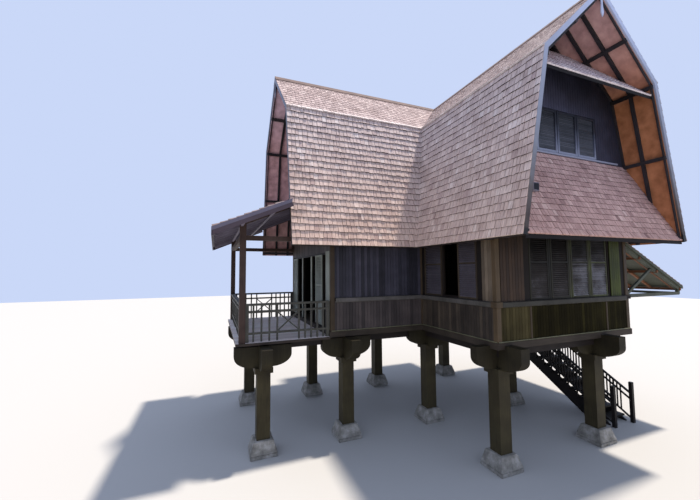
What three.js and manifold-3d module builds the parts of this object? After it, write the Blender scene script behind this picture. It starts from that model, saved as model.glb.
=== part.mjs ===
// Stilt house of dark timber with bent gable roofs: a front block, a wing on its left and an open veranda.
// Millimetres, +Z up, Z = 0 on the ground. X runs along the front wall to the right, Y away from the front.
import * as THREE from "three";
import { mergeVertices } from "three/addons/utils/BufferGeometryUtils.js";
import Module from "manifold-3d";

const wasm = await Module();
wasm.setup();

// Plan and storeys
const HOUSE_WIDTH = 4680;
const FRONT_PROJECTION = 2900;
const WING_LENGTH = 2890;
const WALL = 100;
const FLOOR_Z = 2860;
const FLOOR_THICKNESS = 40;
const FLOOR_EDGE = 40;
const FLOOR_SKIRT = 150;
const ATTIC_FLOOR_Z = FLOOR_Z + 3500;
const ATTIC_FLOOR_THICKNESS = 150;
const SEAT = 0.3;
const LAP = 8;

// Roof section, measured from the outer face of a wall
const EAVE_OUT = 434;
const EAVE_Z = FLOOR_Z + 2285;
const BREAK_IN = 820;
const BREAK_Z = FLOOR_Z + 6234;
const RIDGE_Z = FLOOR_Z + 8107;
const ROOF_THICKNESS = 110;
const GABLE_OUT = 1100;
const WING_GABLE_OUT = 1117;
const BARGE_DEPTH = 110;
const BARGE_THICKNESS = 40;
const RIDGE_CAP_WIDTH = 230;
const RIDGE_CAP_THICKNESS = 35;
const PENDANT_WIDTH = 100;
const PENDANT_DROP = 575;

// Gable ends: the upper wall stands out over the lower one, between an apron and an inclined hood
const JETTY = 150;
const APRON_TOP_Z = FLOOR_Z + 4400;
const APRON_THICKNESS = 80;
const APRON_SETBACK = 10;
const HOOD_SETBACK = 50;
const HOOD_EDGE_Z = FLOOR_Z + 5890;
const HOOD_SLOPE = 1.22;
const HOOD_DROP = 80;

// Posts on stone plinths, under girders that deepen over each post
const POST = 325;
const CAPITAL = 440;
const CAPITAL_HEIGHT = 135;
const PLINTH_SIDE = 640;
const PLINTH_TOP = 470;
const PLINTH_HEIGHT = 377;
const PLINTH_BASE = 90;
const NOTCH = 30;
const GIRDER_DEPTH = 280;
const GIRDER_WIDTH = 250;
const BOLSTER_DEPTH = 565;
const BOLSTER_REACH = 705;
const GIRDER_OVERHANG = 755;
const POST_X = { veranda: -4640, wing: -2400, left: 285, right: 3550 };
const POST_Y = { front: 305, middle: 3080, back: 6600 };
const JOIST = 110;
const JOIST_SPACING = 920;
const RIM_INSET = 150;

// Windows and doors, heights above the floor
const SILL = 900;
const SILL_RAIL = 90;
const SILL_RAIL_OUT = 50;
const WINDOW_HEAD = 2500;
const LOW_WINDOW_HEAD = 2200;
const GABLE_SILL = 4460;
const GABLE_HEAD = 5560;
const FRAME = 50;
const FRAME_DEPTH = 60;
const FRAME_INSET = 15;
const LEAF = 30;
const DOOR_HEAD = 2150;

// Windows and doors, as [start, end] along their wall
const FRONT_BAND = [1030, 3980];
const FRONT_DIVISIONS = [1780, 2500, 3225];
const LEFT_BAND = [540, 2650];
const LEFT_DIVISIONS = [1220, 1880];
const GABLE_BAND = [1270, 3440];
const ENTRY = [5400, 6200];
const DOORWAY = [3300, 7480];
const DOOR_LEAVES = [[3700, 4370], [6790, 7430]];
const DOOR_POSTS = [4880, 6050];
const DOOR_POST = 90;
const DOOR_SETBACK = 20;

// Veranda at the end of the wing
const VERANDA_LENGTH = 2430;
const DECK_DROP = 130;
const DECK_THICKNESS = 60;
const VERANDA_POST = 150;
const VERANDA_POST_IN = 150;
const VERANDA_EAVE_X = -5900;
const VERANDA_EAVE_Z = FLOOR_Z + 2640;
const VERANDA_SLOPE = 0.42;
const VERANDA_ROOF_THICKNESS = 90;
const VERANDA_ROOF_SIDE = 550;
const VERANDA_BEAM = 80;
const TIE_Z = FLOOR_Z + 2400;
const TIE = 120;

// Railings
const RAIL_HEIGHT = 950;
const BALUSTER = 42;
const RAIL = 60;
const SLAT = 36;
const BAR = 50;
const MIDDLE_RAIL_DROP = 225;
const LOW_RAIL_RISE = 190;
const SIDE_BRACE = [-4310, -3750];
const END_BRACE_HALF = 280;
const END_BAYS = 8;

// Stair on the right side and the lean-to over it
const STAIR_WIDTH = 800;
const STAIR_GAP = 100;
const STAIR_FOOT_Y = 750;
const RISERS = 16;
const GOING = 280;
const TREAD = 45;
const STRINGER = 50;
const STRINGER_BELOW = 385;
const STRINGER_ABOVE = 50;
const NEWEL = 90;
const NEWEL_HEIGHT = 1150;
const HANDRAIL_RISE = 960;
const LANDING_LENGTH = 1220;
const CANOPY_REACH = 2750;
const CANOPY_WALL_Z = FLOOR_Z + 2390;
const CANOPY_TIP_Z = FLOOR_Z + 1070;
const CANOPY_THICKNESS = 70;
const CANOPY_BACK_Y = 6700;
const CANOPY_BEAM = 90;

// Values worked out from the sizes above
const HOUSE_DEPTH = FRONT_PROJECTION + HOUSE_WIDTH;
const HALF_SPAN = HOUSE_WIDTH / 2 + EAVE_OUT;
const RIDGE_X = HOUSE_WIDTH / 2;
const RIDGE_Y = FRONT_PROJECTION + HOUSE_WIDTH / 2;
const WING_END = -WING_LENGTH;
const WING_GABLE_X = WING_END - WING_GABLE_OUT;
const BACK_GABLE_Y = HOUSE_DEPTH + GABLE_OUT;
const WALL_BASE = FLOOR_Z + SEAT;
const DECK_Z = FLOOR_Z - DECK_DROP;
const VERANDA_END = WING_END - VERANDA_LENGTH;
const GIRDER_TOP = FLOOR_Z - FLOOR_THICKNESS - NOTCH;
const VERANDA_GIRDER_TOP = DECK_Z - DECK_THICKNESS - NOTCH;
const WING_GIRDER_TOP = DECK_Z - DECK_THICKNESS + 2 * LAP;
const STAIR_X = [HOUSE_WIDTH + STAIR_GAP, HOUSE_WIDTH + STAIR_GAP + STAIR_WIDTH];
const STAIR_TOP_Y = STAIR_FOOT_Y + RISERS * GOING;
const LANDING_END_Y = STAIR_TOP_Y + LANDING_LENGTH;
const RISE = FLOOR_Z / RISERS;
const FAR = 30000;

const paint = (color, roughness) => new THREE.MeshStandardMaterial({ color, roughness, metalness: 0 });
const STONE = paint(0x8d8a84, 0.9);
const POST_TIMBER = paint(0x35302b, 0.75);
const FRAME_TIMBER = paint(0x2b2320, 0.7);
const WALL_TIMBER = paint(0x2a201d, 0.65);
const SHUTTER_TIMBER = paint(0x4a3a34, 0.6);
const SHINGLE = paint(0x8f7068, 0.85);
const BARGE_PAINT = paint(0x8a93a8, 0.55);
const FLOOR_BOARDS = paint(0x6b5448, 0.7);
const DECK_BOARDS = paint(0x6f6872, 0.7);
const RAIL_TIMBER = paint(0x5b5562, 0.65);
const STAIR_TIMBER = paint(0x221d1c, 0.6);

const house = new THREE.Group();

// Turns a closed geometry into a solid that can be joined and cut
function solid(geometry) {
  const bare = new THREE.BufferGeometry();
  bare.setAttribute("position", geometry.getAttribute("position"));
  bare.setIndex(geometry.index);
  const merged = mergeVertices(bare, 1e-3);
  return new wasm.Manifold(
    new wasm.Mesh({
      numProp: 3,
      vertProperties: merged.attributes.position.array,
      triVerts: new Uint32Array(merged.index.array),
    }),
  );
}

// Adds a solid to the house as a named mesh
function place(name, body, material) {
  const data = body.getMesh();
  const geometry = new THREE.BufferGeometry();
  geometry.setAttribute("position", new THREE.BufferAttribute(new Float32Array(data.vertProperties), 3));
  geometry.setIndex(new THREE.BufferAttribute(new Uint32Array(data.triVerts), 1));
  const piece = new THREE.Mesh(geometry, material);
  piece.name = name;
  house.add(piece);
}

const join = (bodies) => bodies.reduce((whole, body) => whole.add(body));

function box(x0, x1, y0, y1, z0, z1) {
  const geometry = new THREE.BoxGeometry(x1 - x0, y1 - y0, z1 - z0);
  return solid(geometry.translate((x0 + x1) / 2, (y0 + y1) / 2, (z0 + z1) / 2));
}

const outline = (points) => new THREE.Shape(points.map(([a, b]) => new THREE.Vector2(a, b)));

function extruded(shape, length, steps) {
  return new THREE.ExtrudeGeometry(shape, { depth: length, bevelEnabled: false, curveSegments: steps });
}

// An outline in X and Z, drawn out along Y
function alongY(shape, y0, y1, steps = 6) {
  return solid(extruded(shape, y1 - y0, steps).rotateX(Math.PI / 2).translate(0, y1, 0));
}

// An outline in Y and Z, drawn out along X
function alongX(shape, x0, x1, steps = 6) {
  const turn = new THREE.Matrix4().makeBasis(
    new THREE.Vector3(0, 1, 0),
    new THREE.Vector3(0, 0, 1),
    new THREE.Vector3(1, 0, 0),
  );
  return solid(extruded(shape, x1 - x0, steps).applyMatrix4(turn).translate(x0, 0, 0));
}

// An outline in X and Y, drawn upwards
function upwards(shape, z0, z1) {
  return solid(extruded(shape, z1 - z0, 6).translate(0, 0, z0));
}

function rectangle(a0, a1, b0, b1) {
  return outline([[a0, b0], [a1, b0], [a1, b1], [a0, b1]]);
}

// The places that divide a length evenly
function even(from, to, count) {
  return Array.from({ length: count - 1 }, (_, i) => from + ((to - from) * (i + 1)) / count);
}

// Cuts rectangular holes, given as [start, end, bottom, top], through a wall or frame that faces Y or X
function pierceY(body, y0, y1, holes) {
  const tools = holes.map(([a0, a1, b0, b1]) => box(a0, a1, y0 - WALL, y1 + WALL, b0, b1));
  return tools.reduce((rest, tool) => rest.subtract(tool), body);
}

function pierceX(body, x0, x1, holes) {
  const tools = holes.map(([a0, a1, b0, b1]) => box(x0 - WALL, x1 + WALL, a0, a1, b0, b1));
  return tools.reduce((rest, tool) => rest.subtract(tool), body);
}

// The roof's half section, sunk by a distance square to its surface: eave, break and ridge points.
// Distances run inwards from the outer face of the wall.
function roofLine(sunk) {
  const low = new THREE.Vector2(BREAK_IN, BREAK_Z - EAVE_Z).normalize();
  const high = new THREE.Vector2(HALF_SPAN - BREAK_IN, RIDGE_Z - BREAK_Z).normalize();
  const turn = Math.tan((Math.atan2(low.y, low.x) - Math.atan2(high.y, high.x)) / 2);
  const eave = [-EAVE_OUT + sunk * low.y, EAVE_Z - sunk * low.x];
  const middle = [
    -EAVE_OUT + BREAK_IN + sunk * low.y - sunk * turn * low.x,
    BREAK_Z - sunk * low.x - sunk * turn * low.y,
  ];
  const ridge = [HALF_SPAN - EAVE_OUT, RIDGE_Z - sunk / high.x];
  return { eave, middle, ridge };
}

const UNDERSIDE = ROOF_THICKNESS + SEAT;

// Height of the roof's underside on its steep part, at a distance inwards from the wall's outer face
function wallTop(distance) {
  const { eave, middle } = roofLine(UNDERSIDE);
  return eave[1] + ((distance - eave[0]) * (middle[1] - eave[1])) / (middle[0] - eave[0]);
}

// One bent slope in section; near is the wall face that it hangs over and side is 1 or -1
function slopeOutline(near, side) {
  const top = roofLine(0);
  const bottom = roofLine(ROOF_THICKNESS);
  const at = ([distance, z]) => [near + side * distance, z];
  const atRidge = ([distance, z]) => [near + side * (distance - SEAT / 2), z];
  return outline([
    at(top.eave), at(top.middle), atRidge(top.ridge),
    atRidge(bottom.ridge), at(bottom.middle), at(bottom.eave),
  ]);
}

// The whole space under both slopes of a roof whose walls stand at near and near + HOUSE_WIDTH
function underRoofOutline(near) {
  const { eave, middle, ridge } = roofLine(UNDERSIDE);
  const far = near + HOUSE_WIDTH;
  return outline([
    [near + eave[0], 0], [near + eave[0], eave[1]], [near + middle[0], middle[1]],
    [near + ridge[0], ridge[1]],
    [far - middle[0], middle[1]], [far - eave[0], eave[1]], [far - eave[0], 0],
  ]);
}

// A wall that rises into a gable, with an optional doorway at its foot
function gableWallOutline(near, doorway) {
  const { middle, ridge } = roofLine(UNDERSIDE);
  const far = near + HOUSE_WIDTH;
  const foot = [[near, WALL_BASE]];
  if (doorway) {
    const head = FLOOR_Z + DOOR_HEAD;
    foot.push([doorway[0], WALL_BASE], [doorway[0], head], [doorway[1], head], [doorway[1], WALL_BASE]);
  }
  foot.push([far, WALL_BASE]);
  return outline([
    ...foot, [far, wallTop(0)], [far - middle[0], middle[1]], [near + ridge[0], ridge[1]],
    [near + middle[0], middle[1]], [near, wallTop(0)],
  ]);
}

// The plan wedge that the wing's roof fills where the two roofs cross, grown or shrunk by a distance
function wingWedge(grow) {
  const reach = 2 * FAR;
  const tip = RIDGE_X + grow;
  const plan = outline([[tip, RIDGE_Y], [tip - reach, RIDGE_Y + reach], [tip - reach, RIDGE_Y - reach]]);
  return upwards(plan, 0, FAR);
}

// The two gable ends with aprons and hoods. Each draws a profile along its wall, given as
// [distance out from the lower wall, height].
const GABLE_ENDS = {
  front: {
    out: GABLE_OUT,
    draw: (points, a0, a1) => alongX(outline(points.map(([d, z]) => [-d, z])), a0, a1),
    under: () => alongY(underRoofOutline(0), -GABLE_OUT, RIDGE_Y),
  },
  back: {
    out: GABLE_OUT,
    draw: (points, a0, a1) => alongX(outline(points.map(([d, z]) => [HOUSE_DEPTH + d, z])), a0, a1),
    under: () => alongY(underRoofOutline(0), RIDGE_Y, BACK_GABLE_Y),
  },
};

// Height of a hood's upper face at a distance out from the lower wall
function hoodTop(end, distance) {
  return HOOD_EDGE_Z + (end.out - HOOD_SETBACK - distance) * HOOD_SLOPE;
}

const hoodUnderside = (end, distance) => hoodTop(end, distance) - HOOD_DROP - SEAT;

// Stone foot: a low square base with a tapered block on it
function plinth(x, y) {
  const half = PLINTH_SIDE / 2;
  const topRadius = (PLINTH_TOP / 2) * Math.SQRT2;
  const taper = new THREE.CylinderGeometry(topRadius, half * Math.SQRT2, PLINTH_HEIGHT - PLINTH_BASE, 4, 1);
  taper.rotateY(Math.PI / 4).rotateX(Math.PI / 2).translate(x, y, (PLINTH_HEIGHT + PLINTH_BASE) / 2);
  return box(x - half, x + half, y - half, y + half, 0, PLINTH_BASE).add(solid(taper));
}

// A girder over a row of posts, seen from its side: it deepens over each post in two rounded shoulders
function girderOutline(centres, reach, top, shallow, deep) {
  const shape = new THREE.Shape();
  const run = reach - CAPITAL / 2;
  const rise = deep - shallow;
  const spring = top - shallow;
  shape.moveTo(centres[centres.length - 1] + reach, top);
  shape.lineTo(centres[0] - reach, top);
  shape.lineTo(centres[0] - reach, spring);
  for (const centre of centres) {
    shape.absellipse(centre - CAPITAL / 2, spring, run, rise, Math.PI, 1.5 * Math.PI, false, 0);
    shape.absellipse(centre + CAPITAL / 2, spring, run, rise, 1.5 * Math.PI, 2 * Math.PI, false, 0);
  }
  shape.closePath();
  return shape;
}

// A row of posts under one girder, with a cross bolster on each post; grow thickens it to cut its own seat
function bent(x, rows, top, grow = 0) {
  const half = GIRDER_WIDTH / 2 + grow;
  const shallow = GIRDER_DEPTH + 2 * grow;
  const deep = BOLSTER_DEPTH + 2 * grow;
  const girder = girderOutline(rows, GIRDER_OVERHANG + grow, top + grow, shallow, deep);
  const parts = [alongX(girder, x - half, x + half)];
  const inset = 3 * LAP;
  const crossTop = top + grow - inset;
  const cross = girderOutline([x], BOLSTER_REACH + grow, crossTop, shallow - 2 * inset, deep - 2 * inset);
  for (const y of rows) {
    parts.push(alongY(cross, y - half + inset, y + half - inset));
    const wide = CAPITAL / 2 + grow;
    const narrow = POST / 2 + grow;
    const ledge = top - BOLSTER_DEPTH + 4 * LAP;
    parts.push(box(x - wide, x + wide, y - wide, y + wide, ledge - CAPITAL_HEIGHT, ledge));
    parts.push(box(x - narrow, x + narrow, y - narrow, y + narrow, PLINTH_HEIGHT + SEAT, ledge - LAP));
  }
  return join(parts);
}

const BENTS = {
  veranda: { rows: [POST_Y.middle, POST_Y.back], top: VERANDA_GIRDER_TOP },
  wing: { rows: [POST_Y.middle, POST_Y.back], top: WING_GIRDER_TOP },
  left: { rows: [POST_Y.front, POST_Y.middle, POST_Y.back], top: GIRDER_TOP },
  right: { rows: [POST_Y.front, POST_Y.middle, POST_Y.back], top: GIRDER_TOP },
};

function substructure() {
  for (const [name, { rows, top }] of Object.entries(BENTS)) {
    place(`post_bent_${name}`, bent(POST_X[name], rows, top), POST_TIMBER);
    rows.forEach((y, i) => place(`plinth_${name}_${i + 1}`, plinth(POST_X[name], y), STONE));
  }
}

// Plan of the rim beams, with two arms on the right that carry the landing
function framePlan() {
  const right = HOUSE_WIDTH - RIM_INSET;
  const back = HOUSE_DEPTH - RIM_INSET;
  const near = FRONT_PROJECTION + RIM_INSET;
  const arms = [STAIR_TOP_Y + RIM_INSET, LANDING_END_Y - RIM_INSET].flatMap((y) => [
    [right, y - JOIST / 2], [STAIR_X[1], y - JOIST / 2], [STAIR_X[1], y + JOIST / 2], [right, y + JOIST / 2],
  ]);
  return outline([
    [RIM_INSET, RIM_INSET], [right, RIM_INSET], ...arms, [right, back],
    [VERANDA_END + RIM_INSET, back], [VERANDA_END + RIM_INSET, near], [RIM_INSET, near],
  ]);
}

// Rim beams and joists between the girders: a slab with the bays cut out, halved over the girders
function floorFrame() {
  const bottom = GIRDER_TOP - GIRDER_DEPTH;
  const top = FLOOR_Z - FLOOR_THICKNESS - SEAT;
  const deckTop = DECK_Z - DECK_THICKNESS - SEAT;
  const deckStart = VERANDA_END + RIM_INSET;
  const right = HOUSE_WIDTH - RIM_INSET;
  const back = HOUSE_DEPTH - RIM_INSET;
  const near = FRONT_PROJECTION + RIM_INSET;
  let frame = upwards(framePlan(), bottom, top);
  frame = frame.subtract(box(deckStart - JOIST, WING_END, near - JOIST, back + JOIST, deckTop, top + JOIST));
  const landingUnder = FLOOR_Z - FLOOR_SKIRT - SEAT;
  frame = frame.subtract(
    box(HOUSE_WIDTH - LAP, STAIR_X[1] + JOIST, STAIR_TOP_Y, LANDING_END_Y, landingUnder, FLOOR_Z),
  );
  const bays = (from, to, x0, x1) => {
    const count = Math.round((to - from) / JOIST_SPACING);
    const pitch = (to - from + JOIST) / count;
    for (let i = 0; i < count; i += 1) {
      const y0 = from + i * pitch;
      frame = frame.subtract(box(x0, x1, y0, y0 + pitch - JOIST, bottom - JOIST, top + JOIST));
    }
  };
  bays(RIM_INSET + JOIST, near, RIM_INSET + JOIST, right - JOIST);
  bays(near + JOIST, back - JOIST, RIM_INSET + JOIST, right - JOIST);
  bays(near + JOIST, back - JOIST, WING_END + JOIST, RIM_INSET);
  bays(near + JOIST, back - JOIST, deckStart + JOIST, WING_END);
  for (const [name, { rows, top: girderTop }] of Object.entries(BENTS)) {
    frame = frame.subtract(bent(POST_X[name], rows, girderTop, SEAT));
  }
  return frame;
}

// Plan of the main floor, grown outwards from the walls' outer faces
function floorPlan(grow) {
  return outline([
    [-grow, -grow], [HOUSE_WIDTH + grow, -grow], [HOUSE_WIDTH + grow, HOUSE_DEPTH + grow],
    [WING_END - grow, HOUSE_DEPTH + grow], [WING_END - grow, FRONT_PROJECTION - grow],
    [-grow, FRONT_PROJECTION - grow],
  ]);
}

// The main floor with the skirting board that hangs from its edge and is notched over the girders' ends
function mainFloor() {
  const skirtFoot = FLOOR_Z - FLOOR_SKIRT;
  const hollow = upwards(floorPlan(0), skirtFoot - LAP, FLOOR_Z - FLOOR_THICKNESS);
  const whole = upwards(floorPlan(FLOOR_EDGE), skirtFoot, FLOOR_Z).subtract(hollow);
  const girders = Object.entries(BENTS).map(([name, { rows, top }]) => bent(POST_X[name], rows, top, SEAT));
  return girders.reduce((rest, girder) => rest.subtract(girder), whole);
}

function floors() {
  place("floor_frame", floorFrame(), FRAME_TIMBER);
  place("main_floor", mainFloor(), FLOOR_BOARDS);
  const edge = FLOOR_EDGE;
  const inside = WALL + SEAT;
  const attic = outline([
    [inside, inside], [HOUSE_WIDTH - inside, inside], [HOUSE_WIDTH - inside, HOUSE_DEPTH - inside],
    [WING_END + inside, HOUSE_DEPTH - inside], [WING_END + inside, FRONT_PROJECTION + inside],
    [inside, FRONT_PROJECTION + inside],
  ]);
  place("attic_floor", upwards(attic, ATTIC_FLOOR_Z - ATTIC_FLOOR_THICKNESS, ATTIC_FLOOR_Z), FLOOR_BOARDS);
  const deckInner = WING_END - edge - SEAT;
  const deckSides = [FRONT_PROJECTION - edge, HOUSE_DEPTH + edge];
  const deck = box(VERANDA_END, deckInner, ...deckSides, DECK_Z - DECK_THICKNESS, DECK_Z);
  place("veranda_deck", deck, DECK_BOARDS);
}

const bandHole = ([from, to], head = WINDOW_HEAD) => [from, to, FLOOR_Z + SILL, FLOOR_Z + head];
const gableHole = ([from, to]) => [from, to, FLOOR_Z + GABLE_SILL, FLOOR_Z + GABLE_HEAD];

// A side wall in section: its top is bevelled to the underside of the roof slope
function sideWallOutline(outer, side) {
  const inner = outer + side * WALL;
  return outline([[outer, WALL_BASE], [inner, WALL_BASE], [inner, wallTop(WALL)], [outer, wallTop(0)]]);
}

// A gable wall whose upper part stands out over the lower one and stops under the hood
function jettiedWall(end, y0, y1) {
  const ledge = ATTIC_FLOOR_Z - ATTIC_FLOOR_THICKNESS;
  const inner = JETTY - WALL;
  const profile = [
    [0, WALL_BASE], [-WALL, WALL_BASE], [-WALL, ATTIC_FLOOR_Z], [inner, ATTIC_FLOOR_Z],
    [inner, hoodUnderside(end, inner)], [JETTY, hoodUnderside(end, JETTY)], [JETTY, ledge], [0, ledge],
  ];
  const slab = end.draw(profile, 0, HOUSE_WIDTH).intersect(alongY(gableWallOutline(0), y0, y1));
  return pierceY(slab, y0, y1, [bandHole(FRONT_BAND), gableHole(GABLE_BAND)]);
}

function walls() {
  const { front, back } = GABLE_ENDS;
  const railTop = FLOOR_Z + SILL - LAP;
  const out = SILL_RAIL_OUT;
  const sillRail = (x0, x1, y0, y1) => box(x0, x1, y0, y1, railTop - SILL_RAIL, railTop);
  const inner = FRONT_PROJECTION + WALL;
  const backInner = HOUSE_DEPTH - WALL;

  const frontRail = sillRail(-out, HOUSE_WIDTH + out, -out, LAP);
  place("front_wall", jettiedWall(front, -JETTY, WALL).add(frontRail), WALL_TIMBER);
  place("back_wall", jettiedWall(back, backInner, HOUSE_DEPTH + JETTY), WALL_TIMBER);

  const leftSlab = alongY(sideWallOutline(0, 1), WALL + SEAT, inner);
  const leftRail = sillRail(-out, LAP, WALL, FRONT_PROJECTION - out - SEAT);
  place("left_wall", pierceX(leftSlab, 0, WALL, [bandHole(LEFT_BAND)]).add(leftRail), WALL_TIMBER);

  const rightSlab = alongY(sideWallOutline(HOUSE_WIDTH, -1), WALL + SEAT, backInner - SEAT);
  const rightHoles = [bandHole(LEFT_BAND, LOW_WINDOW_HEAD), [...ENTRY, FLOOR_Z, FLOOR_Z + DOOR_HEAD]];
  place("right_wall", pierceX(rightSlab, HOUSE_WIDTH - WALL, HOUSE_WIDTH, rightHoles), WALL_TIMBER);

  const wingStart = WING_END + WALL + SEAT;
  const nearShape = outline([
    [FRONT_PROJECTION, WALL_BASE], [inner, WALL_BASE], [inner, wallTop(WALL)], [FRONT_PROJECTION, wallTop(0)],
  ]);
  const nearRail = sillRail(wingStart, -SEAT, FRONT_PROJECTION - out, FRONT_PROJECTION + LAP);
  place("wing_near_wall", alongX(nearShape, wingStart, -SEAT).add(nearRail), WALL_TIMBER);

  const farShape = outline([
    [HOUSE_DEPTH, WALL_BASE], [HOUSE_DEPTH, wallTop(0)], [backInner, wallTop(WALL)], [backInner, WALL_BASE],
  ]);
  place("wing_far_wall", alongX(farShape, wingStart, -SEAT), WALL_TIMBER);

  const endWall = alongX(gableWallOutline(FRONT_PROJECTION, DOORWAY), WING_END, WING_END + WALL);
  place("wing_end_wall", endWall, WALL_TIMBER);
}

// A window band: the outline of its frame, its panel and the lights between its mullions
function windowBand([from, to], sill, head, divisions) {
  const a0 = from + SEAT;
  const a1 = to - SEAT;
  const b0 = FLOOR_Z + sill + SEAT;
  const b1 = FLOOR_Z + head - SEAT;
  const edges = [a0, ...divisions, a1];
  const lights = [];
  for (let i = 0; i < edges.length - 1; i += 1) {
    const left = edges[i] + (i === 0 ? FRAME : FRAME / 2);
    const right = edges[i + 1] - (i === edges.length - 2 ? FRAME : FRAME / 2);
    lights.push([left, right, b0 + FRAME, b1 - FRAME]);
  }
  const panel = rectangle(a0 + LAP, a1 - LAP, b0 + LAP, b1 - LAP);
  return { shape: rectangle(a0, a1, b0, b1), panel, lights };
}

// The two faces of a frame set into a wall, and the middle between them
function frameSpan(face, side) {
  const ends = [face + side * FRAME_INSET, face + side * (FRAME_INSET + FRAME_DEPTH)];
  return [Math.min(...ends), Math.max(...ends), (ends[0] + ends[1]) / 2];
}

function windows() {
  const facingFront = (name, band, sill, head, divisions, face, side) => {
    const { shape, panel, lights } = windowBand(band, sill, head, divisions);
    const [y0, y1, mid] = frameSpan(face, side);
    const frame = pierceY(alongY(shape, y0, y1), y0, y1, lights);
    place(name, frame.add(alongY(panel, mid - LEAF / 2, mid + LEAF / 2)), SHUTTER_TIMBER);
  };
  const facingSide = (name, head, face, side, open) => {
    const { shape, panel, lights } = windowBand(LEFT_BAND, SILL, head, LEFT_DIVISIONS);
    const [x0, x1, mid] = frameSpan(face, side);
    const frame = pierceX(alongX(shape, x0, x1), x0, x1, lights);
    const leaves = alongX(panel, mid - LEAF / 2, mid + LEAF / 2);
    const openLights = lights.filter((_, i) => open.includes(i));
    place(name, frame.add(pierceX(leaves, x0, x1, openLights)), SHUTTER_TIMBER);
  };
  const gableDivisions = even(...GABLE_BAND, 3);
  const gableHeights = [GABLE_SILL, GABLE_HEAD, gableDivisions];
  facingFront("front_shutters", FRONT_BAND, SILL, WINDOW_HEAD, FRONT_DIVISIONS, 0, 1);
  facingFront("back_shutters", FRONT_BAND, SILL, WINDOW_HEAD, FRONT_DIVISIONS, HOUSE_DEPTH, -1);
  facingFront("front_gable_windows", GABLE_BAND, ...gableHeights, -JETTY, 1);
  facingFront("back_gable_windows", GABLE_BAND, ...gableHeights, HOUSE_DEPTH + JETTY, -1);
  facingSide("left_shutters", WINDOW_HEAD, 0, 1, [1]);
  facingSide("right_shutters", LOW_WINDOW_HEAD, HOUSE_WIDTH, -1, []);
}

// The veranda doorway: two leaves of its folding doors stand closed, and two posts part the open rest
function foldingDoors() {
  const [from, to] = DOORWAY;
  const head = FLOOR_Z + DOOR_HEAD - SEAT;
  const x0 = WING_END + DOOR_SETBACK;
  const x1 = x0 + FRAME_DEPTH;
  const stile = FRAME_DEPTH;
  const half = DOOR_POST / 2;
  const [first, last] = DOOR_LEAVES;
  const [nearPost, farPost] = DOOR_POSTS;
  const open = [[from + FRAME, first[0]], [first[1], nearPost - half], [nearPost + half, farPost - half],
    [farPost + half, last[0]]];
  const frame = pierceX(box(x0, x1, from + SEAT, to - SEAT, WALL_BASE, head), x0, x1, [
    ...open.map(([y0, y1]) => [y0, y1, WALL_BASE - LAP, head - FRAME]),
    ...DOOR_LEAVES.map(([y0, y1]) => [y0 + stile, y1 - stile, WALL_BASE + stile, head - FRAME]),
  ]);
  const panels = DOOR_LEAVES.map(([y0, y1]) => (
    box(x0 + LEAF / 2, x1 - LEAF / 2, y0 + LAP, y1 - LAP, WALL_BASE + LAP, head - LAP)
  ));
  return join([frame, ...panels]);
}

function doors() {
  place("folding_doors", foldingDoors(), SHUTTER_TIMBER);
  const [from, to] = ENTRY;
  const head = FLOOR_Z + DOOR_HEAD - SEAT;
  const [x0, x1, mid] = frameSpan(HOUSE_WIDTH, -1);
  const slab = box(x0, x1, from + SEAT, to - SEAT, WALL_BASE, head);
  const frame = pierceX(slab, x0, x1, [[from + FRAME, to - FRAME, WALL_BASE + FRAME, head - FRAME]]);
  const leaf = box(mid - LEAF / 2, mid + LEAF / 2, from + LAP, to - LAP, WALL_BASE + LAP, head - LAP);
  place("entry_door", frame.add(leaf), SHUTTER_TIMBER);
}

// Sloped apron that springs from the upper gable wall and sheds water over the lower windows
function apron(end) {
  const edge = end.out - APRON_SETBACK;
  const edgeTop = EAVE_Z + LAP;
  const profile = [
    [JETTY + SEAT, APRON_TOP_Z], [edge, edgeTop], [edge, edgeTop - APRON_THICKNESS],
    [JETTY + SEAT, APRON_TOP_Z - 2 * APRON_THICKNESS],
  ];
  return end.draw(profile, -EAVE_OUT, HOUSE_WIDTH + EAVE_OUT).intersect(end.under());
}

// Inclined hood that closes the gable above its windows, back to the ridge
function hood(end) {
  const edge = end.out - HOOD_SETBACK;
  const back = -2 * end.out;
  const profile = [
    [edge, hoodTop(end, edge)], [edge, hoodTop(end, edge) - HOOD_DROP],
    [back, hoodTop(end, back) - HOOD_DROP], [back, hoodTop(end, back)],
  ];
  return end.draw(profile, 0, HOUSE_WIDTH).intersect(end.under());
}

// Outline of the boards that follow the bent section of a gable
function bargeOutline(near) {
  const outer = roofLine(0);
  const inner = roofLine(BARGE_DEPTH);
  const far = near + HOUSE_WIDTH;
  return outline([
    [near + outer.eave[0], outer.eave[1]], [near + outer.middle[0], outer.middle[1]],
    [near + outer.ridge[0], outer.ridge[1]], [far - outer.middle[0], outer.middle[1]],
    [far - outer.eave[0], outer.eave[1]], [far - inner.eave[0], inner.eave[1]],
    [far - inner.middle[0], inner.middle[1]], [near + inner.ridge[0], inner.ridge[1]],
    [near + inner.middle[0], inner.middle[1]], [near + inner.eave[0], inner.eave[1]],
  ]);
}

// A small tapered pendant that hangs from the peak of the boards
function pendantOutline(centre) {
  const peak = roofLine(BARGE_DEPTH).ridge[1];
  const half = PENDANT_WIDTH / 2;
  return outline([
    [centre - half / 2, peak + BARGE_DEPTH / 2], [centre + half / 2, peak + BARGE_DEPTH / 2],
    [centre + half / 2, peak - PENDANT_DROP / 2], [centre + half, peak - 0.8 * PENDANT_DROP],
    [centre, peak - PENDANT_DROP], [centre - half, peak - 0.8 * PENDANT_DROP],
    [centre - half / 2, peak - PENDANT_DROP / 2],
  ]);
}

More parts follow.
